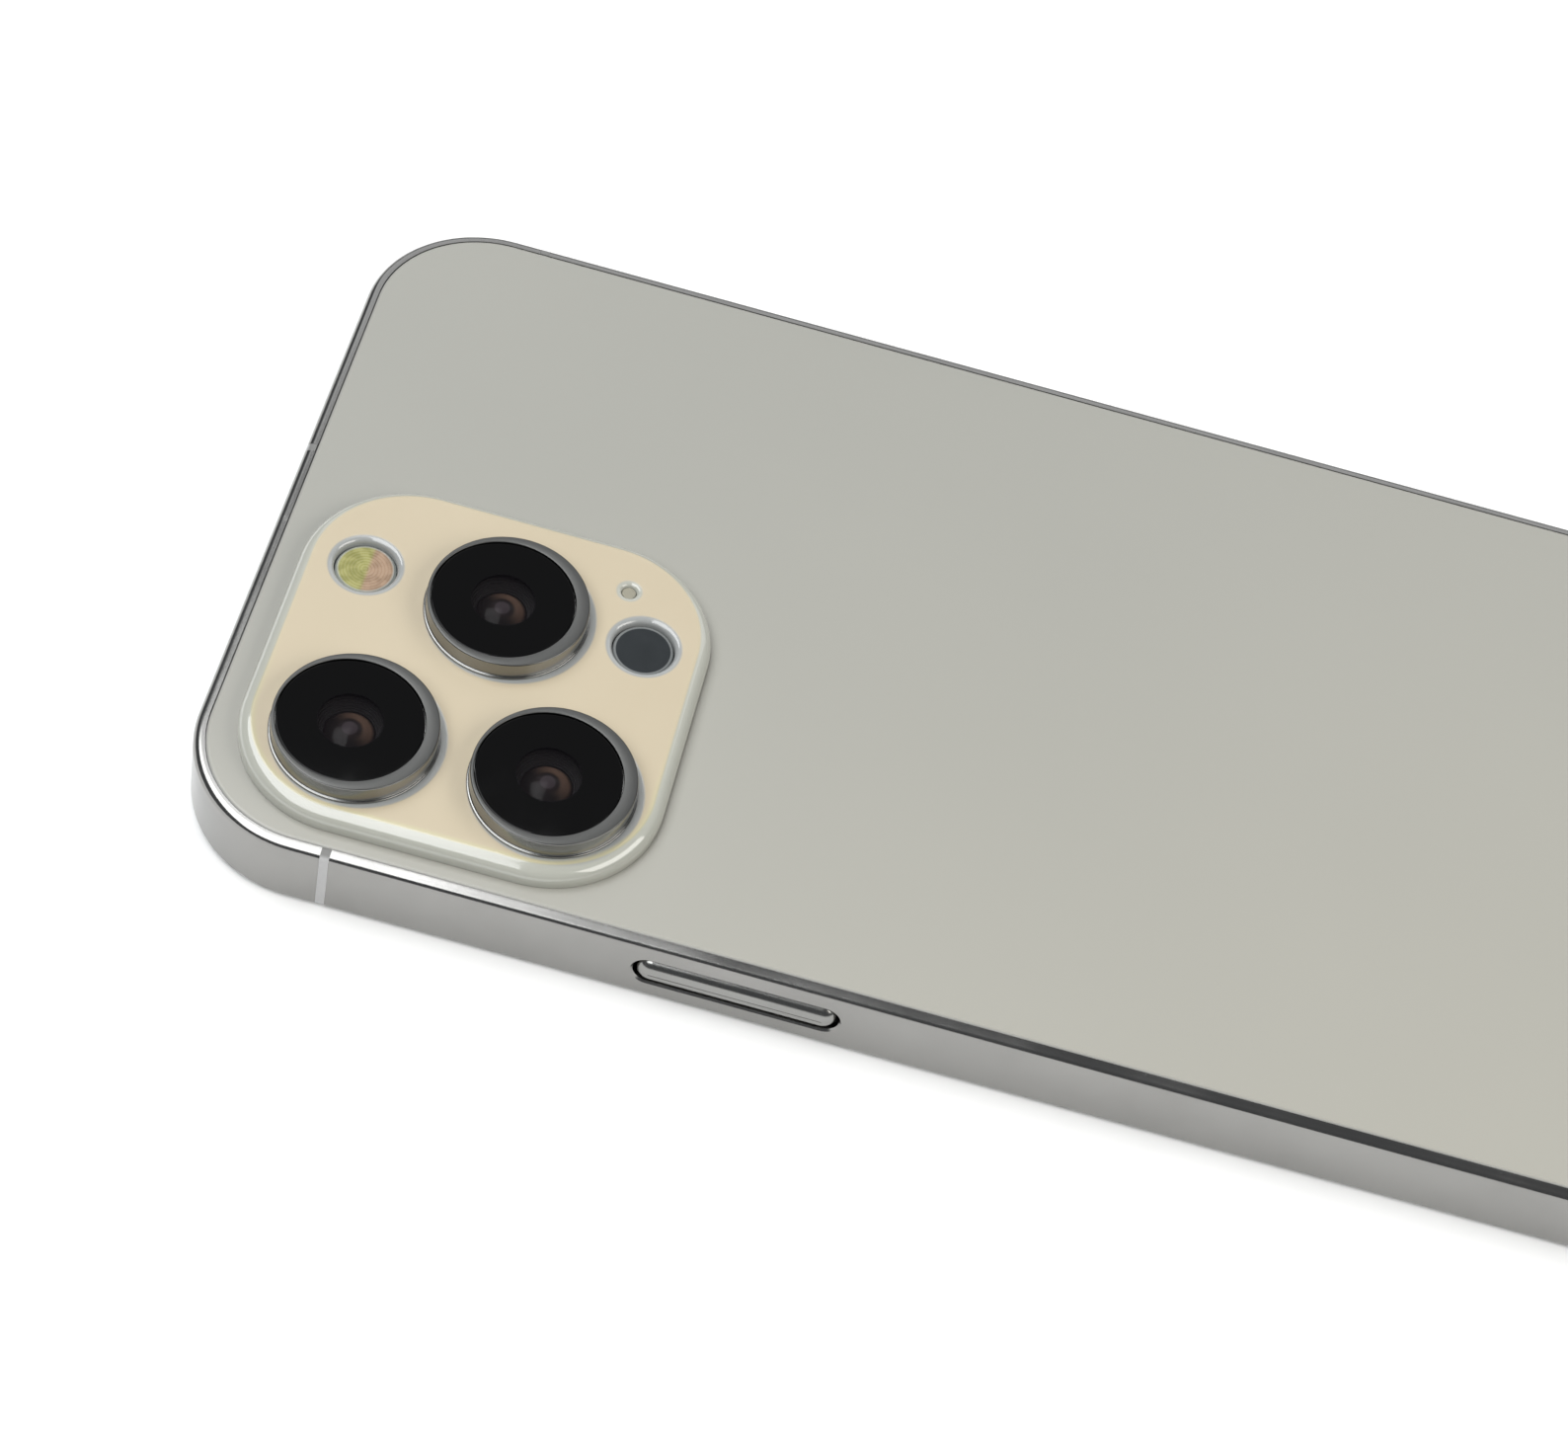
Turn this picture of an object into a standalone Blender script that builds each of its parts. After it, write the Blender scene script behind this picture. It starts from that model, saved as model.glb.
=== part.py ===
"""A 6.1-inch class smartphone lying screen down, built as its separate pieces.

Frame: origin on the surface that it lies on, under the middle of the body. +Z points out of
the back glass, +Y towards the top end, and the power button is on the -X side.
Lengths below are in millimetres, and MM turns them into metres as each mesh is finished.
"""
import math

import bmesh
import bpy
from mathutils import Matrix, Vector

MM = 0.001

# ---- Body -----------------------------------------------------------------------------------
LENGTH, WIDTH = 146.7, 71.5
CORNER = 11.0              # radius of the body's corners, seen from the back
CORNER_STEPS = 6           # facets in a quarter turn of the body's corners
BAND_Z = (0.12, 7.30)      # the band's lower and upper edges
EDGE_ROUND = 0.70          # round along the band's outer edges
WALL = 2.6                 # the band's thickness at its ledges
RIM = 0.95                 # width of the band's visible strip beside the glass
LEDGE_LOW, LEDGE_HIGH = 1.0, 6.55
FIT = 0.05                 # gap between pieces that sit in each other
LEAST = 0.02               # smallest corner radius, and half the shortest straight side
PAST = 1.0                 # how far a cutter runs past what it cuts
MID_Z = 3.70               # height of buttons, tray and port above the surface

# ---- Glass and display ----------------------------------------------------------------------
BACK_TOP, BACK_ROUND = 7.40, 0.25
DISPLAY_Z, DISPLAY_ROUND = (0.0, 0.70), 0.3
GASKET_Z, GASKET_INSET, GASKET_WIDTH = (0.74, 0.96), 1.45, 1.0
PANEL_Z, PANEL_INSET = (0.76, 1.60), 2.75
PANEL_NOTCH = (34.0, 5.7, 1.5)             # width, depth and corner of the sensor notch
EARPIECE = (11.0, 0.8)     # the slot in the display glass's top edge
EARPIECE_CHANNEL = (10.0, 2.0, 0.5, 2.4)   # width, depth and heights of its way into the band
CHANNEL_IN = 0.2           # how far the channel's middle lies outside the ledge's face
SLIT_PAST = 0.01           # how far the slot runs past the glass's edge

# ---- Cameras --------------------------------------------------------------------------------
PLATEAU_CENTRE = (-15.3, 52.15)
PLATEAU_SIZE, PLATEAU_CORNER, PLATEAU_ROUND = 36.0, 10.0, 1.2
PLATEAU_TOP = 9.15
CAMERA_WINDOW, CAMERA_WINDOW_CORNER = 31.0, 8.0   # opening under the plateau
LENSES = ((-8.2, 52.2), (-24.4, 60.8), (-24.4, 44.0))
RING_RADIUS, RING_TOP, RING_ROUND = 6.9, 10.95, 0.12
RING_SHIFT = -0.45         # the collar's outside lies off the cover's middle, along Y
COVER_RADIUS, COVER_Z, COVER_ROUND = 6.1, (10.47, 10.80), 0.08
COVER_LEDGE = 0.7          # width of the ledge that the cover sits on
BARREL_RADIUS, BARREL_Z, BARREL_ROUND = 3.8, (4.2, 9.85), 0.3
BARREL_EYE, BARREL_DISH, DISH_SLOPE = 2.3, 0.5, 0.4   # radius, depth and run of the dished front
BARREL_PLAY, WELL_PLAY = 0.15, 0.2         # gaps round and under a barrel
HOUSING_SIDE, HOUSING_CORNER, HOUSING_TOP = 13.4, 1.2, 5.65
HOUSING_NECK, NECK_PLAY, NECK_TOP = 4.7, 0.5, 8.65
FLASH, DEPTH_SENSOR = (-7.2, 64.4), (-7.8, 39.8)
WINDOW_HOLE, WINDOW_TOP = 2.7, 8.6
MODULE_SIZE, MODULE_CORNER, MODULE_FOOT = (5.6, 4.8), 0.4, 5.8
REAR_MIC, REAR_MIC_RADIUS, REAR_MIC_Z = (-2.4, 42.4), 0.65, (8.55, 8.85)

# ---- Buttons, switch and tray (place along the side, length, height) --------------------------
POWER = (24.6, 17.4, 3.1)
VOLUME_UP = (33.0, 10.8, 3.1)
VOLUME_DOWN = (19.5, 10.8, 3.1)
MUTE, MUTE_CORNER = (45.5, 5.8, 3.1), 1.2
BUTTON_GAP = 0.15          # clearance round a button's cap
BUTTON_PROUD = 0.3         # how far a cap stands out of the band
BUTTON_ROUND = 0.8         # round of a cap's outer edges
FLANGE = (1.4, 0.9, 1.5)   # how much longer and higher a button's flange is, and its corner
FLANGE_SHEET, FLANGE_GAP = 0.5, 0.1        # the flange's thickness and its gap to the wall
MUTE_REST, MUTE_LEVER, MUTE_LEVER_CORNER = -0.6, (5.0, 1.8), 0.7
MUTE_PLATE, MUTE_PLATE_SHEET = (7.0, 2.6, 0.4), 0.7
MUTE_PROUD, MUTE_ROUND = 0.2, 0.15
BRACKET_SHEET, BRACKET_GAP = (3.4, 0.8, 0.5), 0.95   # height, corner and thickness
POWER_BRACKET, VOLUME_BRACKET = (24.6, 16.0), (26.25, 26.0)   # place and length

# ---- SIM tray -------------------------------------------------------------------------------
TRAY = (-6.0, 15.4, 2.3)
TRAY_FACE_DEPTH = 1.55     # thickness of the tray's outer face
TRAY_BLADE = (13.8, 1.1, 0.5)              # length, height and corner of the tray's carrier
TRAY_INNER = 19.5          # where the carrier ends, from the middle of the body
POCKET, POCKET_CORNER, POCKET_FLOOR = (12.6, 9.1), 0.1, -0.3
CARD_X = 26.75
CARD_HALF, CARD_NOTCH, CARD_Z = (6.15, 4.4), 1.65, (-0.25, 0.42)
PIN_PLACE, PIN_RADIUS, PIN_PAST = -6.0, 0.45, 0.6   # the tray's ejector hole
READER_OUTER, READER_INNER = (16.6, 2.6, 0.5), (14.6, 1.7, 0.3)
READER_X = (18.6, 32.8)

# ---- Bottom end -----------------------------------------------------------------------------
PORT = (9.2, 3.3, 7.65)    # width, height and depth of the charging port's mouth
PORT_SHEET = (0.6, 0.4, 1.0)               # the shell's walls beside, above and behind
TONGUE = (6.7, 0.7, 0.2)   # width, height and corner of the contact tongue
TONGUE_BACK, TONGUE_FRONT = 0.1, 1.2       # its distances from the port's end and mouth
SCREW_X, SCREW_HEAD, SCREW_SHANK = 7.6, 0.85, 0.5
SCREW_PLAY, SCREW_SUNK, SCREW_SEAT = 0.1, 0.1, 0.8
SCREW_DRIVE, SCREW_DRIVE_DEPTH, SCREW_END = 0.45, 0.4, 3.4
HOLE_RADIUS, HOLE_PITCH, HOLE_START = 0.65, 2.3, 11.5
HOLES_RIGHT, HOLES_LEFT = 6, 4

# ---- Antenna breaks -------------------------------------------------------------------------
BREAK_WIDTH, BREAK_DEPTH, BREAK_GROOVE = 0.8, 0.91, 1.2
BREAK_PLAY = 0.02
BREAK_Y = 59.45            # distance of the side breaks from the middle, both ways
BREAK_TOP_X, BREAK_BOTTOM_X = 5.3, -22.0

# ---- Sound (centre x, centre y, width, length, corner) ----------------------------------------
SPEAKER, SPEAKER_Z = (19.6, -59.5, 21.2, 18.0, 5.0), (1.85, 5.6)
SPEAKER_MESH = (14.0, 2.4, 0.4, 0.9)       # width, height, corner and thickness
SPEAKER_MESH_GAP = 0.3
MICROPHONE, MICROPHONE_Z = (-14.9, -68.5, 6.0, 3.0, 0.3), (2.6, 5.0)
EAR_UNIT, EAR_UNIT_Z = (0, 69.4, 14.0, 2.2, 0.4), (1.8, 5.4)
EAR_MESH_PLAY, EAR_MESH_Z = 0.1, (0.15, 0.60)

# ---- Inside ---------------------------------------------------------------------------------
INSIDE_Z = (1.85, 5.3)
FRONT_CAMERA, FRONT_CAMERA_Z = (0, 66.6, 31.0, 3.0, 0.5), (1.8, 4.2)
FRONT_EYES, FRONT_EYE_RADIUS, FRONT_EYE_Z = (-11.0, 3.5, 11.0), 1.35, (0.85, 2.5)
PLATE_Z = (5.80, 6.45)
MAGNET_RING, MAGNET_PLAY = (28.0, 23.0), 0.4
PLATE_PLAY = 0.5           # how much wider the plate's camera opening is
COIL = (21.5, 10.0)
WINDING_DROP = 0.1         # how far the coil and magnets lie below the plate's top
CELL_X = (-31.2, -0.5, 31.2)               # the cell's left side, its step and its right side
CELL_Y = (-46.0, -17.5, 35.5)              # its lower end, its step and its upper end
CELL_ROUND = 1.5
BOARD, BOARD_Z = (16.1, 35.0, 30.2, 50.0, 2.0), (2.0, 3.0)
SHIELD, SHIELD_Z, SHIELD_SHEET = (16.1, 35.0, 25.0, 38.0, 1.0), (3.1, 5.2), 0.3
CHIP, CHIP_Z = (16.1, 35.0, 15.0, 15.0, 0.4), (3.1, 4.3)
CHARGING_FLEX, CHARGING_FLEX_Z = (0.2, -24.5, 5.0, 74.0, 0.5), (5.40, 5.55)
DISPLAY_FLEX, DISPLAY_FLEX_Z = (10.0, 3.5, 8.0, 17.0, 0.5), (1.66, 1.78)
MOTOR, MOTOR_Z = (-19.0, -55.0, 22.0, 10.0, 0.8), (1.85, 5.6)
MOTOR_WALL = 0.4
MOTOR_MASS, MOTOR_MASS_HALF, MOTOR_MASS_AT = (17.0, 8.4, 0.6), 1.4, 3.9


def clear_scene():
    for obj in list(bpy.data.objects):
        bpy.data.objects.remove(obj, do_unlink=True)


def material(name, colour, roughness=0.4, metallic=0.0):
    """One Principled material."""
    made = bpy.data.materials.new(name)
    made.use_nodes = True
    shader = made.node_tree.nodes["Principled BSDF"]
    shader.inputs["Base Color"].default_value = (*colour, 1.0)
    shader.inputs["Roughness"].default_value = roughness
    shader.inputs["Metallic"].default_value = metallic
    return made


# ---- Sections and bodies ----------------------------------------------------------------------
def rounded(width, length, radius, steps=4):
    """Points of a rounded rectangle round the origin, anticlockwise. A little of each side
    always stays straight, so that all outlines with the same steps have the same points."""
    radius = max(LEAST, min(radius, width / 2 - LEAST, length / 2 - LEAST))
    points = []
    for turn, (sx, sy) in enumerate(((1, 1), (-1, 1), (-1, -1), (1, -1))):
        cx, cy = sx * (width / 2 - radius), sy * (length / 2 - radius)
        for step in range(steps + 1):
            angle = math.pi / 2 * (turn + step / steps)
            points.append((cx + radius * math.cos(angle), cy + radius * math.sin(angle)))
    return points


def circle(radius, steps=24, shift=0.0):
    """Points of a circle whose middle is shifted along Y."""
    turns = [2 * math.pi * k / steps for k in range(steps)]
    return [(radius * math.cos(a), shift + radius * math.sin(a)) for a in turns]


def body_outline(inset):
    """The body's outline, moved inwards."""
    return rounded(WIDTH - 2 * inset, LENGTH - 2 * inset, CORNER - inset, CORNER_STEPS)


def loft(sections, hollow=False):
    """A solid through (outline, height) sections. A hollow one closes on itself instead of
    having end caps."""
    bm = bmesh.new()
    rings = [[bm.verts.new((x, y, z)) for x, y in outline] for outline, z in sections]
    pairs = list(zip(rings, rings[1:]))
    if hollow:
        pairs.append((rings[-1], rings[0]))
    made = []
    for low, high in pairs:
        for k in range(len(low)):
            n = (k + 1) % len(low)
            made.append(bm.faces.new((low[k], low[n], high[n], high[k])))
    if not hollow:
        made.append(bm.faces.new(rings[0]))
        made.append(bm.faces.new(rings[-1]))
    bmesh.ops.recalc_face_normals(bm, faces=made)
    return bm


def prism(outline, low, high):
    return loft([(outline, low), (outline, high)])


def turned(profile, steps=24, hollow=False):
    """A solid turned round Z through (radius, height) points."""
    return loft([(circle(r, steps), z) for r, z in profile], hollow)


def rounding(radius, degrees):
    """Inset and drop of points along a quarter round, for angles from its foot."""
    angles = [math.radians(a) for a in degrees]
    return [(radius * (1 - math.cos(a)), radius * (1 - math.sin(a))) for a in angles]


def block(name, spec, heights, finish):
    """An upright rounded block. spec is its centre, width, length and corner."""
    x, y, width, length, corner = spec
    return place(name, prism(rounded(width, length, corner, 2), *heights), finish, (x, y, 0))


def shifted(bm, offset):
    bmesh.ops.translate(bm, verts=bm.verts, vec=offset)
    return bm


def facing(bm, direction):
    """Turns a body that was built along +Z so that it points along direction, and its
    outline's first axis along Y (or along X for a direction of Y)."""
    along = Vector(direction)
    first = Vector((0, 1, 0)) if abs(along.x) > 0.5 else Vector((1, 0, 0))
    second = along.cross(first)
    turn = Matrix((first, second, along)).transposed().to_4x4()
    bmesh.ops.transform(bm, matrix=turn, verts=bm.verts)
    return bm


def merge(bodies):
    """Several separate bodies in one mesh, for a cutter."""
    whole = bmesh.new()
    for bm in bodies:
        mesh = bpy.data.meshes.new("scrap")
        bm.to_mesh(mesh)
        bm.free()
        whole.from_mesh(mesh)
        bpy.data.meshes.remove(mesh)
    return whole


def place(name, bm, finish, at=(0, 0, 0)):
    """Makes the object of a body that was built round its own origin."""
    bmesh.ops.recalc_face_normals(bm, faces=bm.faces)
    bmesh.ops.scale(bm, verts=bm.verts, vec=(MM, MM, MM))
    mesh = bpy.data.meshes.new(name)
    bm.to_mesh(mesh)
    bm.free()
    mesh.shade_smooth()
    mesh.set_sharp_from_angle(angle=math.radians(30))
    obj = bpy.data.objects.new(name, mesh)
    obj.location = Vector(at) * MM
    bpy.context.scene.collection.objects.link(obj)
    if finish:
        mesh.materials.append(finish)
    return obj


def combine(obj, bm, operation="DIFFERENCE", at=(0, 0, 0)):
    """Cuts a body out of an object, or joins it on."""
    tool = place(f"{obj.name}_{operation.lower()}", bm, None, at)
    tool.hide_render = True
    tool.display_type = "WIRE"
    step = obj.modifiers.new("shape", "BOOLEAN")
    step.operation = operation
    step.object = tool
    step.solver = "EXACT"
    return obj


# ---- Band and glass ---------------------------------------------------------------------------
def edge_profile():
    """Inset and height of the band's outer face, from its lower edge to its upper one."""
    low, high = BAND_Z
    turn = rounding(EDGE_ROUND, (0, 30, 60, 90))
    return [(d, low + drop) for d, drop in reversed(turn)] + [(d, high - drop) for d, drop in turn]


def break_places():
    """Middle of each antenna break on the band's outer face, and the way out of it."""
    half_w, half_l = WIDTH / 2, LENGTH / 2
    return {
        "near_top": ((-half_w, BREAK_Y), (-1, 0)),
        "far_top": ((half_w, BREAK_Y), (1, 0)),
        "near_bottom": ((-half_w, -BREAK_Y), (-1, 0)),
        "far_bottom": ((half_w, -BREAK_Y), (1, 0)),
        "top_end": ((BREAK_TOP_X, half_l), (0, 1)),
        "bottom_end": ((BREAK_BOTTOM_X, -half_l), (0, -1)),
    }


def side_slot(side, spec, corner):
    """A cutter for a hole through a long side. side is -1 or +1."""
    place_y, length, height = spec
    outline = rounded(length, height, corner, 5)
    body = facing(prism(outline, WIDTH / 2 - WALL - PAST, WIDTH / 2 + PAST), (side, 0, 0))
    return shifted(body, (0, place_y, MID_Z))


def band_cutter():
    """Everything that is cut through the band: slots, holes and grooves."""
    cuts = [side_slot(side, spec, spec[2] / 2)
            for side, spec in ((-1, POWER), (1, VOLUME_UP), (1, VOLUME_DOWN), (1, TRAY))]
    cuts.append(side_slot(1, MUTE, MUTE_CORNER))
    inner, outer = LENGTH / 2 - WALL - PAST, LENGTH / 2 + PAST
    ends = [(prism(rounded(PORT[0], PORT[1], PORT[1] / 2, 5), inner, outer), 0)]
    ends += [(prism(circle(HOLE_RADIUS, 10), inner, outer), x) for x in hole_places()]
    seat = LENGTH / 2 - SCREW_SEAT - FIT
    wide, narrow = SCREW_HEAD + SCREW_PLAY, SCREW_SHANK + SCREW_PLAY
    for x in (-SCREW_X, SCREW_X):
        ends.append((turned([(narrow, inner), (narrow, seat), (wide, seat), (wide, outer)], 12), x))
    cuts += [shifted(facing(bm, (0, -1, 0)), (x, 0, MID_Z)) for bm, x in ends]
    for (x, y), (ox, oy) in break_places().values():
        groove = prism(rounded(BREAK_WIDTH, 2 * BACK_TOP, 0, 1), -BREAK_GROOVE, PAST)
        cuts.append(shifted(facing(groove, (ox, oy, 0)), (x, y, MID_Z)))
    width, depth, low, high = EARPIECE_CHANNEL
    channel = prism(rounded(width, depth, 0, 1), low, high)
    cuts.append(shifted(channel, (0, LENGTH / 2 - WALL + CHANNEL_IN, 0)))
    return merge(cuts)


def hole_places():
    """Where the sound holes lie along the bottom end."""
    right = [HOLE_START + HOLE_PITCH * k for k in range(HOLES_RIGHT)]
    left = [-HOLE_START - HOLE_PITCH * k for k in range(HOLES_LEFT)]
    return right + left


def side_band(steel):
    inner = [(RIM, BAND_Z[1]), (RIM, LEDGE_HIGH), (WALL, LEDGE_HIGH), (WALL, LEDGE_LOW),
             (RIM + FIT, LEDGE_LOW), (RIM + FIT, BAND_Z[0])]
    bm = loft([(body_outline(d), z) for d, z in edge_profile() + inner], hollow=True)
    combine(place("side_band", bm, steel), band_cutter())


def antenna_breaks(plastic):
    """Strips that fill the band's grooves and follow its outer face."""
    profile = edge_profile() + [(BREAK_DEPTH, BAND_Z[1]), (BREAK_DEPTH, BAND_Z[0])]
    half = BREAK_WIDTH / 2 - BREAK_PLAY
    for name, ((x, y), (ox, oy)) in break_places().items():
        bm = bmesh.new()
        ends = [[bm.verts.new((-d * ox + s * oy, -d * oy + s * ox, z)) for d, z in profile]
                for s in (-half, half)]
        for k in range(len(profile)):
            n = (k + 1) % len(profile)
            bm.faces.new((ends[0][k], ends[0][n], ends[1][n], ends[1][k]))
        bm.faces.new(ends[0])
        bm.faces.new(ends[1])
        place(f"antenna_break_{name}", bm, plastic, (x, y, 0))


def camera_opening(extra=0.0):
    """A cutter for the opening that the cameras stand in."""
    side = CAMERA_WINDOW + extra
    opening = prism(rounded(side, side, CAMERA_WINDOW_CORNER, 4), 0, 2 * BACK_TOP)
    return shifted(opening, (*PLATEAU_CENTRE, 0))


def back_glass(glass):
    inset = RIM + FIT
    sections = [(inset, LEDGE_HIGH + FIT)]
    sections += [(inset + d, BACK_TOP - drop) for d, drop in rounding(BACK_ROUND, (0, 45, 90))]
    combine(place("back_glass", loft([(body_outline(d), z) for d, z in sections]), glass),
            camera_opening())


def display(glass, panel, rubber):
    """The cover glass, the panel on it and the gasket round the panel."""
    inset, (low, high) = RIM + 2 * FIT, DISPLAY_Z
    sections = [(inset + d, low + drop) for d, drop in rounding(DISPLAY_ROUND, (90, 45, 0))]
    bm = loft([(body_outline(d), z) for d, z in sections + [(inset, high)]])
    slit = prism(rounded(*EARPIECE, 0, 1), low - PAST, high + PAST)
    slit_y = LENGTH / 2 - inset - EARPIECE[1] / 2
    combine(place("display_glass", bm, glass), shifted(slit, (0, slit_y + SLIT_PAST, 0)))

    outer, inner = body_outline(GASKET_INSET), body_outline(GASKET_INSET + GASKET_WIDTH)
    low, high = GASKET_Z
    place("display_gasket", loft([(outer, low), (outer, high), (inner, high), (inner, low)],
                                 hollow=True), rubber)

    (low, high), (width, depth, corner) = PANEL_Z, PANEL_NOTCH
    notch = prism(rounded(width, 2 * depth, corner, 3), low - PAST, high + PAST)
    combine(place("display_panel", prism(body_outline(PANEL_INSET), low, high), panel),
            shifted(notch, (0, LENGTH / 2 - PANEL_INSET, 0)))


# ---- Cameras ----------------------------------------------------------------------------------
def camera_plateau(glass):
    side, (cx, cy) = PLATEAU_SIZE, PLATEAU_CENTRE
    sections = [(0.0, BACK_TOP + FIT)]
    sections += [(d, PLATEAU_TOP - drop) for d, drop in rounding(PLATEAU_ROUND, (0, 30, 60, 90))]
    bm = loft([(rounded(side - 2 * d, side - 2 * d, PLATEAU_CORNER - d, 6), z) for d, z in sections])
    holes = [(*p, HOUSING_NECK + NECK_PLAY, 24) for p in LENSES]
    holes += [(*FLASH, WINDOW_HOLE, 20), (*DEPTH_SENSOR, WINDOW_HOLE, 20)]
    holes.append((*REAR_MIC, REAR_MIC_RADIUS, 10))
    cuts = [shifted(prism(circle(r, steps), 0, 2 * PLATEAU_TOP), (x - cx, y - cy, 0))
            for x, y, r, steps in holes]
    combine(place("camera_plateau", bm, glass, (cx, cy, 0)), merge(cuts), at=(cx, cy, 0))


def lens_ring(number, at, steel):
    """A collar with a ledge for the cover. Each section is a radius, a height and a shift."""
    base, top = PLATEAU_TOP + FIT, RING_TOP
    seat, bore, ledge = COVER_RADIUS + FIT, COVER_RADIUS - COVER_LEDGE, COVER_Z[0] - FIT
    outside = [(RING_RADIUS, base)]
    outside += [(RING_RADIUS - d, top - drop) for d, drop in rounding(RING_ROUND, (0, 45, 90))]
    inside = [(seat + FIT, top), (seat, top - FIT), (seat, ledge), (bore, ledge), (bore, base)]
    sections = [(circle(r, 24, RING_SHIFT), z) for r, z in outside]
    sections += [(circle(r, 24), z) for r, z in inside]
    place(f"lens_ring_{number}", loft(sections, hollow=True), steel, at)


def camera(number, centre, steel, black, housing, glass):
    """One camera: its ring and cover outside, and its housing and focusing barrel inside."""
    at = (*centre, 0)
    lens_ring(number, at, steel)

    low, high = COVER_Z
    rim = [(COVER_RADIUS, low), (COVER_RADIUS, high - COVER_ROUND), (COVER_RADIUS - COVER_ROUND, high)]
    place(f"lens_cover_{number}", turned(rim, 24), glass, at)

    body = prism(rounded(HOUSING_SIDE, HOUSING_SIDE, HOUSING_CORNER, 2), INSIDE_Z[0], HOUSING_TOP)
    shell = place(f"camera_housing_{number}", body, housing, at)
    combine(shell, prism(circle(HOUSING_NECK), HOUSING_TOP - PAST, NECK_TOP), "UNION", at)
    well = prism(circle(BARREL_RADIUS + BARREL_PLAY), BARREL_Z[0] - WELL_PLAY, NECK_TOP + PAST)
    combine(shell, well, at=at)

    low, high = BARREL_Z
    middle = (low + high) / 2
    half = high - middle
    profile = [(BARREL_RADIUS, -half), (BARREL_RADIUS, half - BARREL_ROUND),
               (BARREL_RADIUS - BARREL_ROUND, half), (BARREL_EYE, half),
               (BARREL_EYE - DISH_SLOPE, half - BARREL_DISH)]
    place(f"lens_barrel_{number}", turned(profile, 24), black, (*centre, middle))


def windows(flash, dark, mesh, board):
    """The flash, the depth sensor and the rear microphone, in the plateau's small holes."""
    for name, centre, finish in (("flash", FLASH, flash), ("depth", DEPTH_SENSOR, dark)):
        disc = prism(circle(WINDOW_HOLE - FIT, 20), BACK_TOP + 2 * FIT, WINDOW_TOP)
        place(f"{name}_window", disc, finish, (*centre, 0))
        block(f"{name}_module", (*centre, *MODULE_SIZE, MODULE_CORNER), (MODULE_FOOT, BACK_TOP), board)
    disc = prism(circle(REAR_MIC_RADIUS - FIT, 10), *REAR_MIC_Z)
    place("rear_mic_mesh", disc, mesh, (*REAR_MIC, 0))


# ---- Buttons, switch and SIM tray -------------------------------------------------------------
def side_piece(name, side, at_y, sections, finish, drop=0.0):
    """A body through rounded sections across a long side: (distance from the middle, length,
    height, radius). Its origin is where its slide's axis meets the band's outer face."""
    rings = [(rounded(length, height, radius, 4), d - WIDTH / 2) for d, length, height, radius in sections]
    return place(name, facing(loft(rings), (side, 0, 0)), finish,
                 (side * WIDTH / 2, at_y, MID_Z + drop))


def cap_sections(length, height, corner, outer, edge):
    """The rounded outer end of a cap, for side_piece."""
    return [(outer - drop, length - 2 * d, height - 2 * d, corner - d)
            for d, drop in rounding(edge, (0, 35, 65, 90))]


def push_button(name, side, spec, steel):
    """A cap in its slot, with a wider flange behind the band's wall."""
    at_y, length, height = spec
    cap_l, cap_h = length - 2 * BUTTON_GAP, height - 2 * BUTTON_GAP
    inner = WIDTH / 2 - WALL - FLANGE_GAP
    base = (cap_l + FLANGE[0], cap_h + FLANGE[1], FLANGE[2])
    sections = [(inner - FLANGE_SHEET, *base), (inner, *base), (inner, cap_l, cap_h, cap_h / 2)]
    sections += cap_sections(cap_l, cap_h, cap_h / 2, WIDTH / 2 + BUTTON_PROUD, BUTTON_ROUND)
    side_piece(name, side, at_y, sections, steel)


def mute_switch(steel):
    inner = WIDTH / 2 - WALL - FLANGE_GAP
    lever = (*MUTE_LEVER, MUTE_LEVER_CORNER)
    sections = [(inner - MUTE_PLATE_SHEET, *MUTE_PLATE), (inner, *MUTE_PLATE), (inner, *lever)]
    sections += cap_sections(*lever, WIDTH / 2 + MUTE_PROUD, MUTE_ROUND)
    side_piece("mute_switch", 1, MUTE[0], sections, steel, MUTE_REST)


def switch_brackets(metal):
    """Sheets behind the buttons that carry their dome switches."""
    height, corner, thick = BRACKET_SHEET
    back = WIDTH / 2 - WALL - BRACKET_GAP
    for name, side, (centre, length) in (("power", -1, POWER_BRACKET), ("volume", 1, VOLUME_BRACKET)):
        sheet = prism(rounded(length, height, corner, 2), back - thick, back)
        place(f"{name}_switch_bracket", facing(sheet, (side, 0, 0)), metal, (0, centre, MID_Z))


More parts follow.
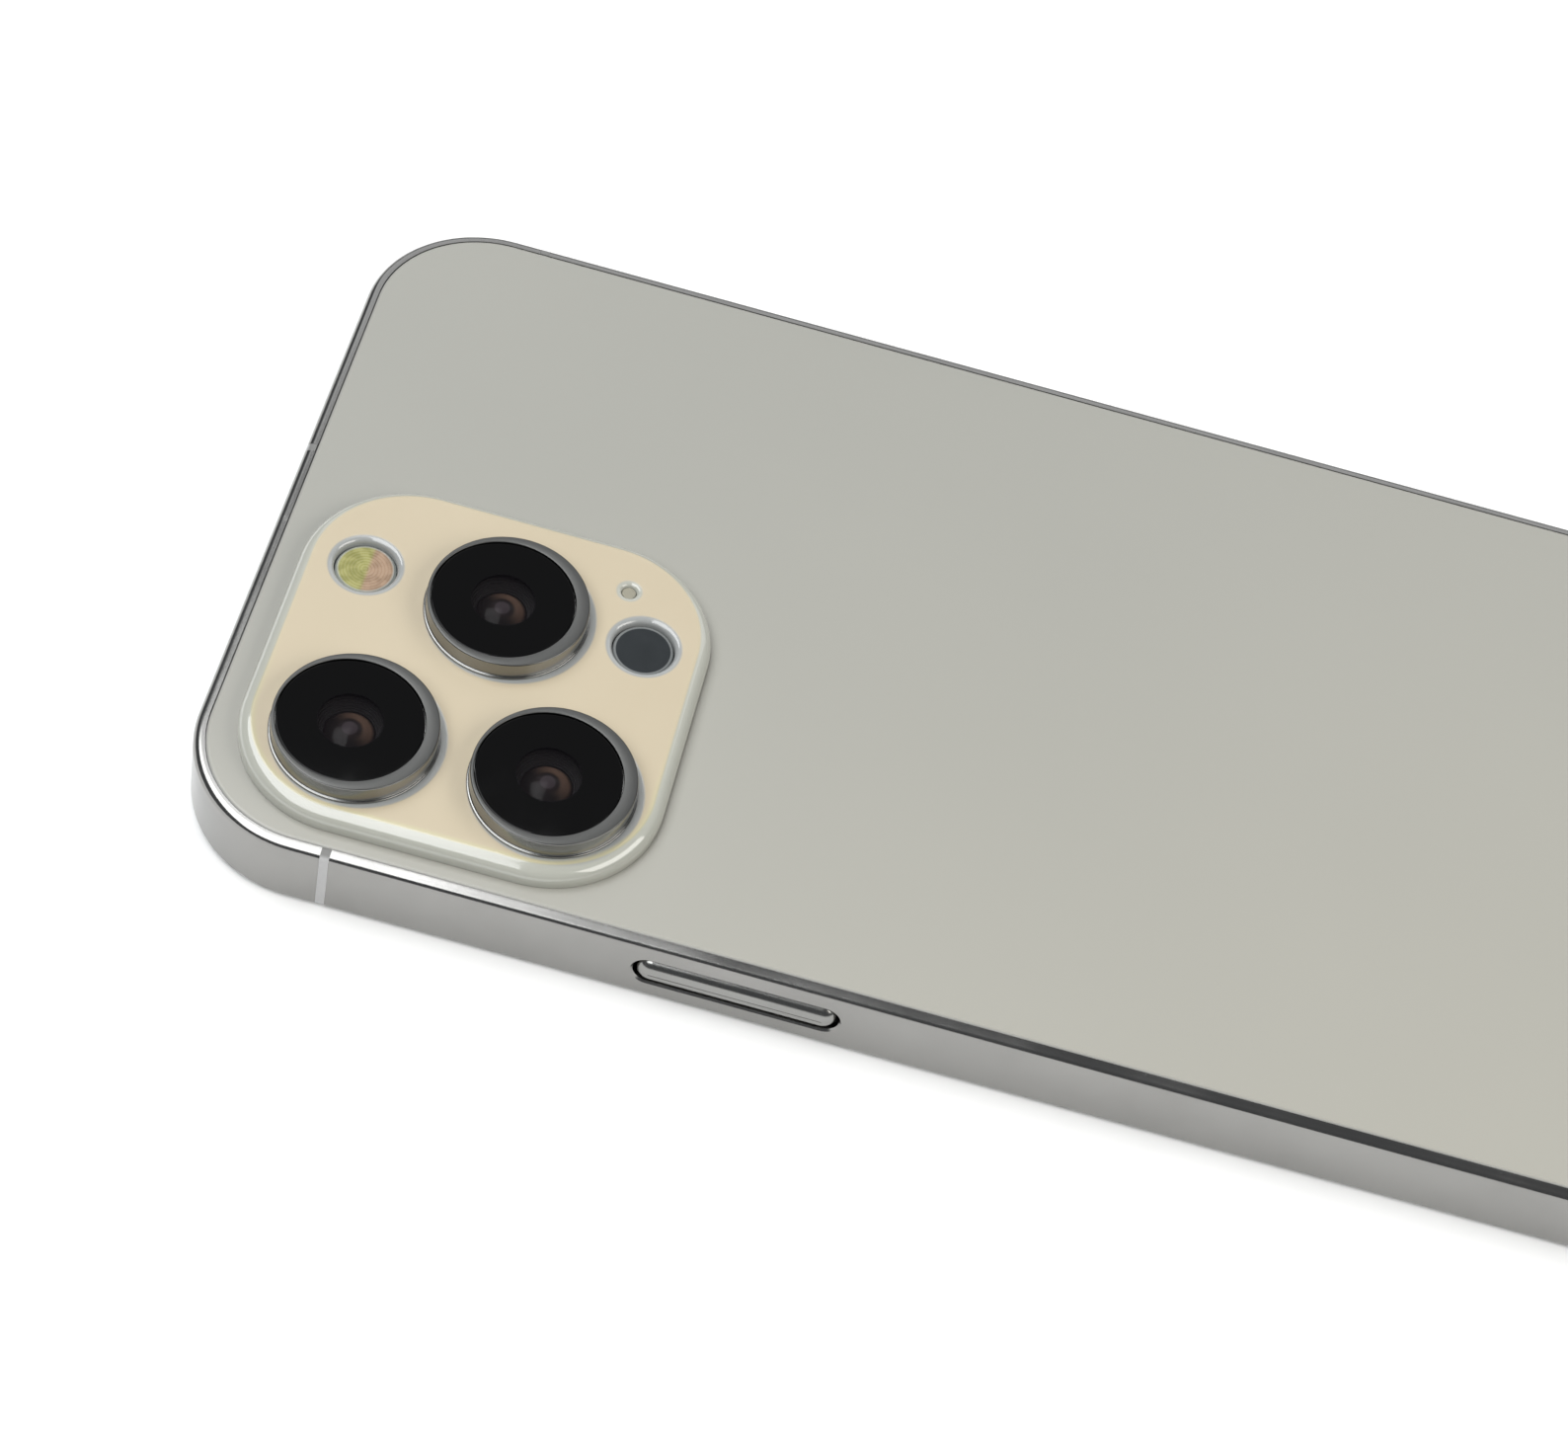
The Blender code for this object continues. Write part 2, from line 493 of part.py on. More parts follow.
def sim_parts(steel, card, cage):
    """The tray with its pocket and ejector hole, the card in it and the reader round it."""
    at_y, length, height = TRAY
    face = (length - 2 * BUTTON_GAP, height - 2 * BUTTON_GAP, height / 2 - BUTTON_GAP)
    step = WIDTH / 2 - TRAY_FACE_DEPTH
    sections = [(TRAY_INNER, *TRAY_BLADE), (step, *TRAY_BLADE), (step, *face), (WIDTH / 2, *face)]
    tray = side_piece("sim_tray", 1, at_y, sections, steel)
    pocket = prism(rounded(*POCKET, POCKET_CORNER, 1), MID_Z + POCKET_FLOOR, MID_Z + PAST)
    pin = facing(prism(circle(PIN_RADIUS, 8), step - PIN_PAST, WIDTH / 2 + PAST), (1, 0, 0))
    cuts = [shifted(pocket, (CARD_X, 0, 0)), shifted(pin, (0, PIN_PLACE, MID_Z))]
    combine(tray, merge(cuts), at=(0, at_y, 0))

    x, y = CARD_HALF
    shape = [(-x, -y), (x, -y), (x, y - CARD_NOTCH), (x - CARD_NOTCH, y), (-x, y)]
    place("sim_card", prism(shape, *CARD_Z), card, (CARD_X, at_y, MID_Z))

    outer, inner = rounded(*READER_OUTER, 1), rounded(*READER_INNER, 1)
    low, high = READER_X
    tube = loft([(outer, low), (outer, high), (inner, high), (inner, low)], hollow=True)
    place("sim_reader", facing(tube, (1, 0, 0)), cage, (0, at_y, MID_Z))


# ---- Bottom end -------------------------------------------------------------------------------
def charging_port(steel, board):
    """An open shell behind the port's mouth, with its contact tongue."""
    width, height, depth = PORT
    beside, above, behind = PORT_SHEET
    mouth, tall = LENGTH / 2 - WALL - FIT, height + 2 * above
    shell = prism(rounded(width + 2 * beside, tall, tall / 2, 5), mouth - depth - behind, mouth)
    hollow = prism(rounded(width, height, height / 2, 5), mouth - depth, mouth + PAST)
    combine(place("charging_port", facing(shell, (0, -1, 0)), steel, (0, 0, MID_Z)),
            facing(hollow, (0, -1, 0)), at=(0, 0, MID_Z))
    tongue = prism(rounded(*TONGUE, 1), mouth - depth + TONGUE_BACK, mouth - TONGUE_FRONT)
    place("port_tongue", facing(tongue, (0, -1, 0)), board, (0, 0, MID_Z))


def bottom_screws(steel):
    face, seat = LENGTH / 2 - SCREW_SUNK, LENGTH / 2 - SCREW_SEAT
    profile = [(SCREW_SHANK, LENGTH / 2 - SCREW_END), (SCREW_SHANK, seat), (SCREW_HEAD, seat),
               (SCREW_HEAD, face), (SCREW_DRIVE, face), (SCREW_DRIVE, face - SCREW_DRIVE_DEPTH)]
    for name, x in (("bottom_screw_left", -SCREW_X), ("bottom_screw_right", SCREW_X)):
        place(name, facing(turned(profile, 12), (0, -1, 0)), steel, (x, 0, MID_Z))


def sound_parts(black, mesh):
    """Loudspeaker, microphones and earpiece."""
    block("loudspeaker", SPEAKER, SPEAKER_Z, black)
    width, height, corner, thick = SPEAKER_MESH
    front = LENGTH / 2 - WALL - SPEAKER_MESH_GAP
    strip = prism(rounded(width, height, corner, 1), front - thick, front)
    middle = HOLE_START + HOLE_PITCH * (HOLES_RIGHT - 1) / 2
    place("loudspeaker_mesh", facing(strip, (0, -1, 0)), mesh, (middle, 0, MID_Z))
    block("bottom_microphone", MICROPHONE, MICROPHONE_Z, black)
    block("earpiece_speaker", EAR_UNIT, EAR_UNIT_Z, black)
    width, length = (side - 2 * EAR_MESH_PLAY for side in EARPIECE)
    middle = LENGTH / 2 - RIM - 2 * FIT - EARPIECE[1] / 2
    block("earpiece_mesh", (0, middle, width, length, EAR_MESH_PLAY), EAR_MESH_Z, mesh)


# ---- Inside -----------------------------------------------------------------------------------
def front_camera(black):
    """The sensor block behind the display's notch, with its three eyes."""
    base = block("front_camera_module", FRONT_CAMERA, FRONT_CAMERA_Z, black)
    eyes = [shifted(prism(circle(FRONT_EYE_RADIUS, 12), *FRONT_EYE_Z), (x, 0, 0)) for x in FRONT_EYES]
    combine(base, merge(eyes), "UNION", (*FRONT_CAMERA[:2], 0))


def middle_plate(metal, copper, magnet):
    """The plate under the back glass, with the magnets and the coil in its opening."""
    low, high = PLATE_Z
    plate = place("mid_plate", prism(body_outline(WALL + FIT), low, high), metal)
    hole = prism(circle(MAGNET_RING[0] + MAGNET_PLAY, 36), low - PAST, high + PAST)
    combine(plate, merge([hole, camera_opening(PLATE_PLAY)]))
    high -= WINDING_DROP
    for name, (outer, inner), finish in (("magnet_ring", MAGNET_RING, magnet),
                                         ("charging_coil", COIL, copper)):
        profile = [(inner, low), (outer, low), (outer, high), (inner, high)]
        place(name, turned(profile, 36, hollow=True), finish)


def battery(foil):
    """One cell folded into an L, round the SIM reader."""
    (left, step_x, right), (low, step_y, high) = CELL_X, CELL_Y
    outline = [(left, low), (right, low), (right, step_y), (step_x, step_y), (step_x, high), (left, high)]
    bm = prism(outline, *INSIDE_Z)
    upright = [e for e in bm.edges if abs(e.verts[0].co.z - e.verts[1].co.z) > LEAST]
    bmesh.ops.bevel(bm, geom=upright, offset=CELL_ROUND, segments=2, profile=0.5, affect="EDGES")
    place("battery", bm, foil)


def logic_board(board, can, chip):
    """The board, its chip under an open-bottomed can, and the two flexes."""
    block("logic_board", BOARD, BOARD_Z, board)
    cover = block("board_shield", SHIELD, SHIELD_Z, can)
    x, y, width, length, corner = SHIELD
    low, high = SHIELD_Z
    inner = rounded(width - 2 * SHIELD_SHEET, length - 2 * SHIELD_SHEET, corner - SHIELD_SHEET, 2)
    combine(cover, prism(inner, low - PAST, high - SHIELD_SHEET), at=(x, y, 0))
    block("processor_chip", CHIP, CHIP_Z, chip)
    block("charging_flex", CHARGING_FLEX, CHARGING_FLEX_Z, chip)
    block("display_flex", DISPLAY_FLEX, DISPLAY_FLEX_Z, chip)


def vibration_motor(metal, weight):
    """An open case with a heavy block that shakes along X inside it."""
    x, y, length, width, corner = MOTOR
    low, high = MOTOR_Z
    case = block("motor_case", MOTOR, MOTOR_Z, metal)
    inner = rounded(length - 2 * MOTOR_WALL, width - 2 * MOTOR_WALL, corner - MOTOR_WALL / 2, 1)
    combine(case, prism(inner, low + MOTOR_WALL, high + PAST), at=(x, y, 0))
    mass = prism(rounded(*MOTOR_MASS, 1), -MOTOR_MASS_HALF, MOTOR_MASS_HALF)
    place("motor_mass", mass, weight, (x, y, MOTOR_MASS_AT))


def build():
    clear_scene()
    steel = material("polished_steel", (0.62, 0.60, 0.57), 0.12, 1.0)
    plastic = material("antenna_plastic", (0.60, 0.60, 0.64), 0.4)
    satin = material("satin_back_glass", (0.47, 0.46, 0.42), 0.32)
    cream = material("cream_glass", (0.70, 0.60, 0.45), 0.25)
    black_glass = material("black_glass", (0.005, 0.005, 0.006), 0.05)
    black = material("black_plastic", (0.02, 0.02, 0.02), 0.5)
    dark = material("dark_window", (0.03, 0.035, 0.04), 0.15)
    flash = material("flash_lens", (0.45, 0.40, 0.15), 0.3)
    mesh = material("fine_mesh", (0.05, 0.05, 0.05), 0.7, 0.5)
    panel = material("display_stack", (0.02, 0.02, 0.025), 0.3)
    rubber = material("gasket", (0.01, 0.01, 0.01), 0.8)
    sheet = material("sheet_metal", (0.55, 0.55, 0.56), 0.35, 1.0)
    board = material("circuit_board", (0.02, 0.05, 0.03), 0.5)
    foil = material("cell_foil", (0.03, 0.03, 0.03), 0.45)
    copper = material("copper_coil", (0.60, 0.28, 0.14), 0.35, 1.0)
    card = material("card_plastic", (0.75, 0.75, 0.74), 0.4)

    side_band(steel)
    antenna_breaks(plastic)
    back_glass(satin)
    display(black_glass, panel, rubber)
    camera_plateau(cream)
    for number, centre in enumerate(LENSES, start=1):
        camera(number, centre, steel, black, sheet, black_glass)
    windows(flash, dark, mesh, board)
    push_button("power_button", -1, POWER, steel)
    push_button("volume_up_button", 1, VOLUME_UP, steel)
    push_button("volume_down_button", 1, VOLUME_DOWN, steel)
    mute_switch(steel)
    switch_brackets(sheet)
    sim_parts(steel, card, sheet)
    charging_port(sheet, board)
    bottom_screws(steel)
    sound_parts(black, mesh)
    front_camera(black)
    middle_plate(sheet, copper, sheet)
    battery(foil)
    logic_board(board, sheet, black)
    vibration_motor(sheet, sheet)


build()
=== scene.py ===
import math

import bmesh
import bpy
from mathutils import Matrix, Vector


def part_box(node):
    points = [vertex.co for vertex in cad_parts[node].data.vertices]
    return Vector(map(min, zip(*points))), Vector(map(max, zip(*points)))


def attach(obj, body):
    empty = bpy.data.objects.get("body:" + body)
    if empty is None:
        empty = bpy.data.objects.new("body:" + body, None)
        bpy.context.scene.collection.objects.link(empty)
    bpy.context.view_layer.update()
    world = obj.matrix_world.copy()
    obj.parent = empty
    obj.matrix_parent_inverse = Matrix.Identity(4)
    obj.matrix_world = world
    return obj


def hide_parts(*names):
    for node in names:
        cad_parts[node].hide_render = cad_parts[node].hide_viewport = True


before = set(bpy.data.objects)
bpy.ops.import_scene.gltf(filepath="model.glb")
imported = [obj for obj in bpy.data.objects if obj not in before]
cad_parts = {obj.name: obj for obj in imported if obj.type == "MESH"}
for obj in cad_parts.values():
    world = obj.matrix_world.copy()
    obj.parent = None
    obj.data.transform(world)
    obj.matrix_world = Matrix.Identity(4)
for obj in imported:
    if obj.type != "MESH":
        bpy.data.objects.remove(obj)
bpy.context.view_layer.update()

# Lengths in the dictionaries are millimetres. Meshes are made in millimetres too, and become
# metres when a piece is finished.
mm = 0.001


def cadBox(node):
    # a CAD node's lowest and highest corners, in millimetres
    low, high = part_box(node)
    return low / mm, high / mm


def cadCentre(node):
    low, high = cadBox(node)
    return (low + high) / 2


studio = {
    "cameraAt": (-195.4, 26.0, 249.85),
    "cameraAim": (-9.7, 26.8, 7.40),
    "cameraRoll": 15.1,          # degrees
    "lens": 82.7,
    "sensor": 36,
    "clip": (0.01, 20),          # metres, as are the floor's size and the lights' places and sizes
    "floorSize": 6.0,
    "floorColour": (0.90, 0.90, 0.895),
    "worldColour": (0.85, 0.88, 0.92),
    "worldStrength": 0.16,
    # name: place, aim, width, height, power, colour
    "lights": {
        "leftBox": ((-0.26, 0.66, 1.20), (-0.26, 0.66, 0), 2.07, 1.08, 30.0, (0.98, 0.99, 1.0)),
        "rightBox": ((-0.26, -1.30, 1.05), (0, 0, 0), 1.5, 0.9, 18.0, (1.0, 0.97, 0.92)),
        "farCard": ((1.50, 0.0, 1.15), (0, 0.0, 1.15), 2.4, 1.3, 8.8, (0.97, 0.98, 1.0)),
    },
}


def makeCamera(look):
    data = bpy.data.cameras.new("camera")
    data.lens, data.sensor_width = look["lens"], look["sensor"]
    data.clip_start, data.clip_end = look["clip"]
    camera = bpy.data.objects.new("camera", data)
    bpy.context.scene.collection.objects.link(camera)
    place, aim = Vector(look["cameraAt"]) * mm, Vector(look["cameraAim"]) * mm
    turn = (aim - place).to_track_quat("-Z", "Y").to_matrix()
    roll = Matrix.Rotation(math.radians(look["cameraRoll"]), 3, "Z")
    camera.matrix_world = Matrix.Translation(place) @ (turn @ roll).to_4x4()
    bpy.context.scene.camera = camera


def makeLight(name, place, aim, width, height, power, colour):
    data = bpy.data.lights.new(name, "AREA")
    data.shape, data.size, data.size_y = "RECTANGLE", width, height
    data.energy, data.color = power, colour
    lamp = bpy.data.objects.new(name, data)
    bpy.context.scene.collection.objects.link(lamp)
    lamp.location = place
    lamp.rotation_euler = (Vector(aim) - Vector(place)).to_track_quat("-Z", "Y").to_euler()
    lamp.visible_camera = False


def makeStudio(look):
    for name, values in look["lights"].items():
        makeLight(name, *values)
    world = bpy.data.worlds.new("studioAir")
    world.use_nodes = True
    air = world.node_tree.nodes["Background"]
    air.inputs["Color"].default_value = (*look["worldColour"], 1)
    air.inputs["Strength"].default_value = look["worldStrength"]
    bpy.context.scene.world = world
    bpy.context.scene.view_settings.view_transform = "Standard"


class Wire:
    # one socket of a material; sums and products of wires add the Math nodes

    def __init__(self, paint, socket):
        self.paint, self.socket = paint, socket

    def maths(self, operation, *others):
        return self.paint.add("ShaderNodeMath", {"operation": operation}, dict(enumerate(others)))

    def __add__(self, other): return self.maths("ADD", self, other)
    def __sub__(self, other): return self.maths("SUBTRACT", self, other)
    def __mul__(self, other): return self.maths("MULTIPLY", self, other)
    def __pow__(self, other): return self.maths("POWER", self, other)
    def __rsub__(self, other): return self.maths("SUBTRACT", other, self)
    def __abs__(self): return self.maths("ABSOLUTE", self)
    def __lt__(self, other): return self.maths("LESS_THAN", self, other)
    def __gt__(self, other): return self.maths("GREATER_THAN", self, other)
    __radd__, __rmul__ = __add__, __mul__

    def sine(self): return self.maths("SINE", self)
    def least(self, other): return self.maths("MINIMUM", self, other)
    def most(self, other): return self.maths("MAXIMUM", self, other)

    def between(self, low, high, outLow=0.0, outHigh=1.0):
        # smooth step from low to high
        return self.paint.add("ShaderNodeMapRange", {"interpolation_type": "SMOOTHSTEP"},
                              {"Value": self, "From Min": low, "From Max": high,
                               "To Min": outLow, "To Max": outHigh})


class Paint:
    # one procedural material

    def __init__(self, name, **constants):
        self.material = bpy.data.materials.new(name)
        self.material.use_nodes = True
        self.tree = self.material.node_tree
        self.shader = self.tree.nodes["Principled BSDF"]
        for socket, value in constants.items():
            self.shader.inputs[socket.replace("_", " ")].default_value = value

    def add(self, kind, settings=None, inputs=None, output=0):
        node = self.tree.nodes.new(kind)
        for setting, value in (settings or {}).items():
            setattr(node, setting, value)
        for socket, value in (inputs or {}).items():
            self.feed(node.inputs[socket], value)
        return Wire(self, node.outputs[output])

    def feed(self, socket, value):
        if isinstance(value, Wire):
            self.tree.links.new(value.socket, socket)
        elif isinstance(value, tuple) and socket.type == "RGBA":
            socket.default_value = (*value[:3], 1)
        else:
            socket.default_value = value

    def place(self):
        return self.add("ShaderNodeTexCoord", output="Object")

    def axes(self):
        # the surface's place in millimetres, as three wires
        place = self.add("ShaderNodeVectorMath", {"operation": "SCALE"},
                         {0: self.place(), "Scale": 1 / mm}, "Vector")
        split = self.add("ShaderNodeSeparateXYZ", None, {0: place})
        return tuple(Wire(self, split.socket.node.outputs[k]) for k in range(3))

    def noise(self, grain, stretch=(1, 1, 1), detail=3.0, rough=0.5):
        # grain is the size of the blotches in millimetres
        scale = tuple(s / (grain * mm) for s in stretch)
        where = self.add("ShaderNodeMapping", None, {"Vector": self.place(), "Scale": scale})
        return self.add("ShaderNodeTexNoise", None,
                        {"Vector": where, "Scale": 1.0, "Detail": detail, "Roughness": rough})

    def mix(self, share, first, second):
        node = self.tree.nodes.new("ShaderNodeMix")
        node.data_type = "RGBA"
        for socket, value in ((0, share), (6, first), (7, second)):
            self.feed(node.inputs[socket], value)
        return Wire(self, node.outputs[2])

    def far(self, centre):
        # distance from an upright axis, in millimetres
        x, y, z = self.axes()
        return ((x - centre[0]) ** 2.0 + (y - centre[1]) ** 2.0) ** 0.5

    def bump(self, height, strength, distance):
        self.set(Normal=self.add("ShaderNodeBump", None, {"Height": height, "Strength": strength,
                                                          "Distance": distance * mm}))

    def set(self, **values):
        for socket, value in values.items():
            self.feed(self.shader.inputs[socket.replace("_", " ")], value)


def cornerDistance(paint, centre, side, corner):
    # distance inwards from a rounded square's edge, in millimetres
    x, y, z = paint.axes()
    dx = (abs(x - centre[0]) - (side / 2 - corner)).most(0.0)
    dy = (abs(y - centre[1]) - (side / 2 - corner)).most(0.0)
    outside = (dx ** 2.0 + dy ** 2.0) ** 0.5
    straight = (abs(x - centre[0])).most(abs(y - centre[1]))
    inner = side / 2 - straight
    return (corner - outside).least(inner.most(corner - outside))


def plate(width, length, corner, steps, at=(0, 0, 0)):
    # one flat rounded-rectangle face
    bm = bmesh.new()
    bmesh.ops.create_grid(bm, x_segments=1, y_segments=1, size=0.5)
    bmesh.ops.scale(bm, vec=(width, length, 1), verts=bm.verts)
    if corner:
        bmesh.ops.bevel(bm, geom=bm.verts[:], offset=corner, segments=steps, profile=0.5,
                        affect="VERTICES", material=-1)
    bmesh.ops.translate(bm, vec=at, verts=bm.verts)
    return bm


def raised(bm, height):
    # pulls the topmost face up
    bm.faces.ensure_lookup_table()
    top = max(bm.faces, key=lambda f: f.calc_center_median().z)
    made = bmesh.ops.extrude_face_region(bm, geom=[top])["geom"]
    verts = [g for g in made if isinstance(g, bmesh.types.BMVert)]
    if top.is_valid and len(bm.faces) > len(top.verts) + 2:
        bm.faces.remove(top)
    bmesh.ops.translate(bm, vec=(0, 0, height), verts=verts)
    bmesh.ops.recalc_face_normals(bm, faces=bm.faces)
    return bm


def slab(width, length, corner, low, high, steps=16, centre=(0, 0)):
    return raised(plate(width, length, corner, steps, (*centre, low)), high - low)


def softened(bm, height, radius, segments=4):
    # rounds the edges that lie at one height
    rim = [e for e in bm.edges if all(abs(v.co.z - height) < 1e-4 for v in e.verts)
           and len(e.link_faces) == 2]
    bmesh.ops.bevel(bm, geom=rim, offset=radius, segments=segments, profile=0.5,
                    affect="EDGES", material=-1, clamp_overlap=False)
    return bm


def turned(profile, steps=96, hollow=False, at=(0, 0)):
    # spins (radius, height) points round an upright axis
    bm = bmesh.new()
    verts = [bm.verts.new((radius, 0, height)) for radius, height in profile]
    edges = [bm.edges.new(pair) for pair in zip(verts, verts[1:])]
    if hollow:
        edges.append(bm.edges.new((verts[-1], verts[0])))
    bmesh.ops.spin(bm, geom=verts + edges, axis=(0, 0, 1), cent=(0, 0, 0),
                   angle=2 * math.pi, steps=steps, use_merge=True)
    bmesh.ops.remove_doubles(bm, verts=bm.verts, dist=1e-4)
    bmesh.ops.recalc_face_normals(bm, faces=bm.faces)
    bmesh.ops.translate(bm, vec=(*at, 0), verts=bm.verts)
    return bm


def arc(centreR, centreZ, radius, start, end, steps=4):
    # points of a turned profile's round stretch, angles in degrees
    points = []
    for k in range(steps + 1):
        angle = math.radians(start + (end - start) * k / steps)
        points.append((centreR + radius * math.cos(angle), centreZ + radius * math.sin(angle)))
    return points


def facing(bm, direction, at=(0, 0, 0)):
    # turns a body made along +Z to point along a horizontal direction
    along = Vector(direction)
    first = Vector((0, 1, 0)) if abs(along.x) > 0.5 else Vector((1, 0, 0))
    turn = Matrix((first, along.cross(first), along)).transposed().to_4x4()
    bmesh.ops.transform(bm, matrix=Matrix.Translation(at) @ turn, verts=bm.verts)
    bmesh.ops.recalc_face_normals(bm, faces=bm.faces)
    return bm


def joined(bodies):
    whole = bmesh.new()
    for bm in bodies:
        mesh = bpy.data.meshes.new("part")
        bm.to_mesh(mesh)
        bm.free()
        whole.from_mesh(mesh)
        bpy.data.meshes.remove(mesh)
    return whole


def carved(bm, cutter, operation="DIFFERENCE"):
    # the body with the cutter taken away, or joined on
    objects = []
    for shape in (bm, cutter):
        mesh = bpy.data.meshes.new("part")
        shape.to_mesh(mesh)
        shape.free()
        obj = bpy.data.objects.new("part", mesh)
        bpy.context.scene.collection.objects.link(obj)
        objects.append(obj)
    step = objects[0].modifiers.new("carve", "BOOLEAN")
    step.operation, step.object, step.solver = operation, objects[1], "EXACT"
    graph = bpy.context.evaluated_depsgraph_get()
    mesh = bpy.data.meshes.new_from_object(objects[0].evaluated_get(graph))
    result = bmesh.new()
    result.from_mesh(mesh)
    for obj in objects:
        old = obj.data
        bpy.data.objects.remove(obj)
        bpy.data.meshes.remove(old)
    bpy.data.meshes.remove(mesh)
    bmesh.ops.remove_doubles(result, verts=result.verts, dist=1e-4)
    return result


def finish(name, bm, paint, body, replaces=(), sharp=30):
    # makes the piece in metres, and says what it rides on and stands for
    bmesh.ops.scale(bm, vec=(mm, mm, mm), verts=bm.verts)
    mesh = bpy.data.meshes.new(name)
    bm.to_mesh(mesh)
    bm.free()
    mesh.shade_smooth()
    mesh.set_sharp_from_angle(angle=math.radians(sharp))
    mesh.materials.append(paint.material)
    piece = bpy.data.objects.new(name, mesh)
    bpy.context.scene.collection.objects.link(piece)
    piece.modifiers.new("evenFlats", "WEIGHTED_NORMAL").keep_sharp = True
    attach(piece, body)
    if replaces:
        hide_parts(*replaces)


def steelPaint(name, colour, rough, along=(1, 1, 1), dark=0.85):
    # polished stainless steel with faint polishing lines, smudges and small scratches
    paint = Paint(name, Metallic=1.0)
    smudge = paint.noise(9.0, detail=4.0).between(0.35, 0.75)
    lines = paint.noise(0.5, along, detail=2.0)
    scratch = paint.noise(1.6, (1, 1, 4), detail=6.0, rough=0.7).between(0.62, 0.70)
    shade = tuple(c * dark for c in colour)
    tone = paint.mix(smudge * 0.5 + lines * 0.3, colour, shade)
    paint.set(Base_Color=tone, Roughness=rough + smudge * 0.07 + lines * 0.05 + scratch * 0.08)
    paint.bump(lines + scratch * 0.4, 0.10, 0.004)
    return paint


def sheetPaint(name, colour, rough=0.35):
    # rolled or machined sheet for the inner metal parts
    paint = Paint(name, Metallic=1.0)
    grain = paint.noise(0.35, (1, 14, 1), detail=3.0)
    stain = paint.noise(12.0, detail=3.0)
    paint.set(Base_Color=paint.mix(stain, colour, tuple(c * 0.82 for c in colour)),
              Roughness=rough + grain * 0.18)
    paint.bump(grain, 0.2, 0.01)
    return paint


bandLow, bandHigh = cadBox("side_band")
glassLow, glassHigh = cadBox("back_glass")
displayLow, displayHigh = cadBox("display_glass")
bodyWidth, bodyLength = bandHigh.x - bandLow.x, bandHigh.y - bandLow.y

band = {
    "corner": 11.0,
    "cornerSteps": 28,
    "edgeRound": 0.70,
    "edgeSteps": 8,
    "wall": 2.6,
    "rim": 0.95,
    "ledgeLow": 1.0,
    "ledgeHigh": 6.55,
    "midHeight": cadCentre("power_button").z,
    "slotLip": 0.16,
    "ledgeGap": 0.05,
    "overcut": 1.0,              # how far cutters reach past what they cut
    "breakWidth": 0.8,
    "breakDepth": 0.91,
    "breakGap": 0.01,            # on both sides of a break
    "grooveDepth": 1.3,
    "breakTall": 20,
    "breakDark": (0.42, 0.42, 0.42),
    "breakPale": (0.48, 0.48, 0.48),
    # painted shade for the antenna line's top end
    "breakTopShade": (0.17, 0.17, 0.165),
    "colour": (0.31, 0.307, 0.297),
    "rough": 0.13,
}

# name: side (-1 is the power button's), place along the side, length, height, corner
sideSlots = {
    "power": (-1, cadCentre("power_button").y, 17.4, 3.1, 1.54),
    "volumeUp": (1, cadCentre("volume_up_button").y, 10.8, 3.1, 1.54),
    "volumeDown": (1, cadCentre("volume_down_button").y, 10.8, 3.1, 1.54),
    "mute": (1, cadCentre("mute_switch").y, 5.8, 3.1, 1.2),
    "tray": (1, cadCentre("sim_tray").y, 15.4, 2.3, 1.14),
}

bottomHoles = {
    "radius": 0.65,
    "pitch": 2.3,
    "first": 11.5,
    "right": 6,
    "left": 4,
    "portWidth": 9.2,
    "portHeight": 3.3,
    "screwSeat": 0.95,
    "screwShank": 0.6,
    "screwSunk": 0.85,
    "screwLip": 0.10,
    "holeLip": 0.08,
    "portLip": 0.15,
    "portEnd": 1.0,              # thickness of the port shell's inner end
    "portColour": (0.45, 0.45, 0.46),
    "depth": 4,
}


def bodySlab(inset, low, high):
    return slab(bodyWidth - 2 * inset, bodyLength - 2 * inset, band["corner"] - inset,
                low, high, band["cornerSteps"])


def lippedHole(length, height, corner, depth, lip, steps=10):
    # a cutter along +Z whose mouth is at z = 0, with a small chamfered lip
    bm = plate(length, height, corner, steps, (0, 0, -depth))
    raised(bm, depth - lip)
    top = max(bm.faces, key=lambda f: f.calc_center_median().z)
    made = bmesh.ops.extrude_face_region(bm, geom=[top])["geom"]
    verts = [g for g in made if isinstance(g, bmesh.types.BMVert)]
    if top.is_valid:
        bm.faces.remove(top)
    bmesh.ops.translate(bm, vec=(0, 0, lip), verts=verts)
    bmesh.ops.scale(bm, vec=(1 + 2 * lip / length, 1 + 2 * lip / height, 1), verts=verts)
    return raised(bm, 1.0)


def bandSlab():
    bm = bodySlab(0, bandLow.z, bandHigh.z)
    softened(bm, bandHigh.z, band["edgeRound"], band["edgeSteps"])
    return softened(bm, bandLow.z, band["edgeRound"], band["edgeSteps"])


def breakPlaces():
    # middle of each antenna break on the band's outer face, and the way out
    places = {}
    for name in sorted(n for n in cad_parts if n.startswith("antenna_break")):
        centre = cadCentre(name)
        if abs(centre.x) > bodyWidth / 2 - 2:
            out = Vector((math.copysign(1, centre.x), 0, 0))
            place = Vector((out.x * bodyWidth / 2, centre.y, 0))
        else:
            out = Vector((0, math.copysign(1, centre.y), 0))
            place = Vector((centre.x, out.y * bodyLength / 2, 0))
        places[name] = (place, out)
    return places


def breakBlock(place, out, width, depth):
    # a block that reaches from outside the band to a depth inside it
    bm = slab(width, band["breakTall"], 0, -depth, 1.0, 1)
    return facing(bm, out, place + Vector((0, 0, band["midHeight"])))


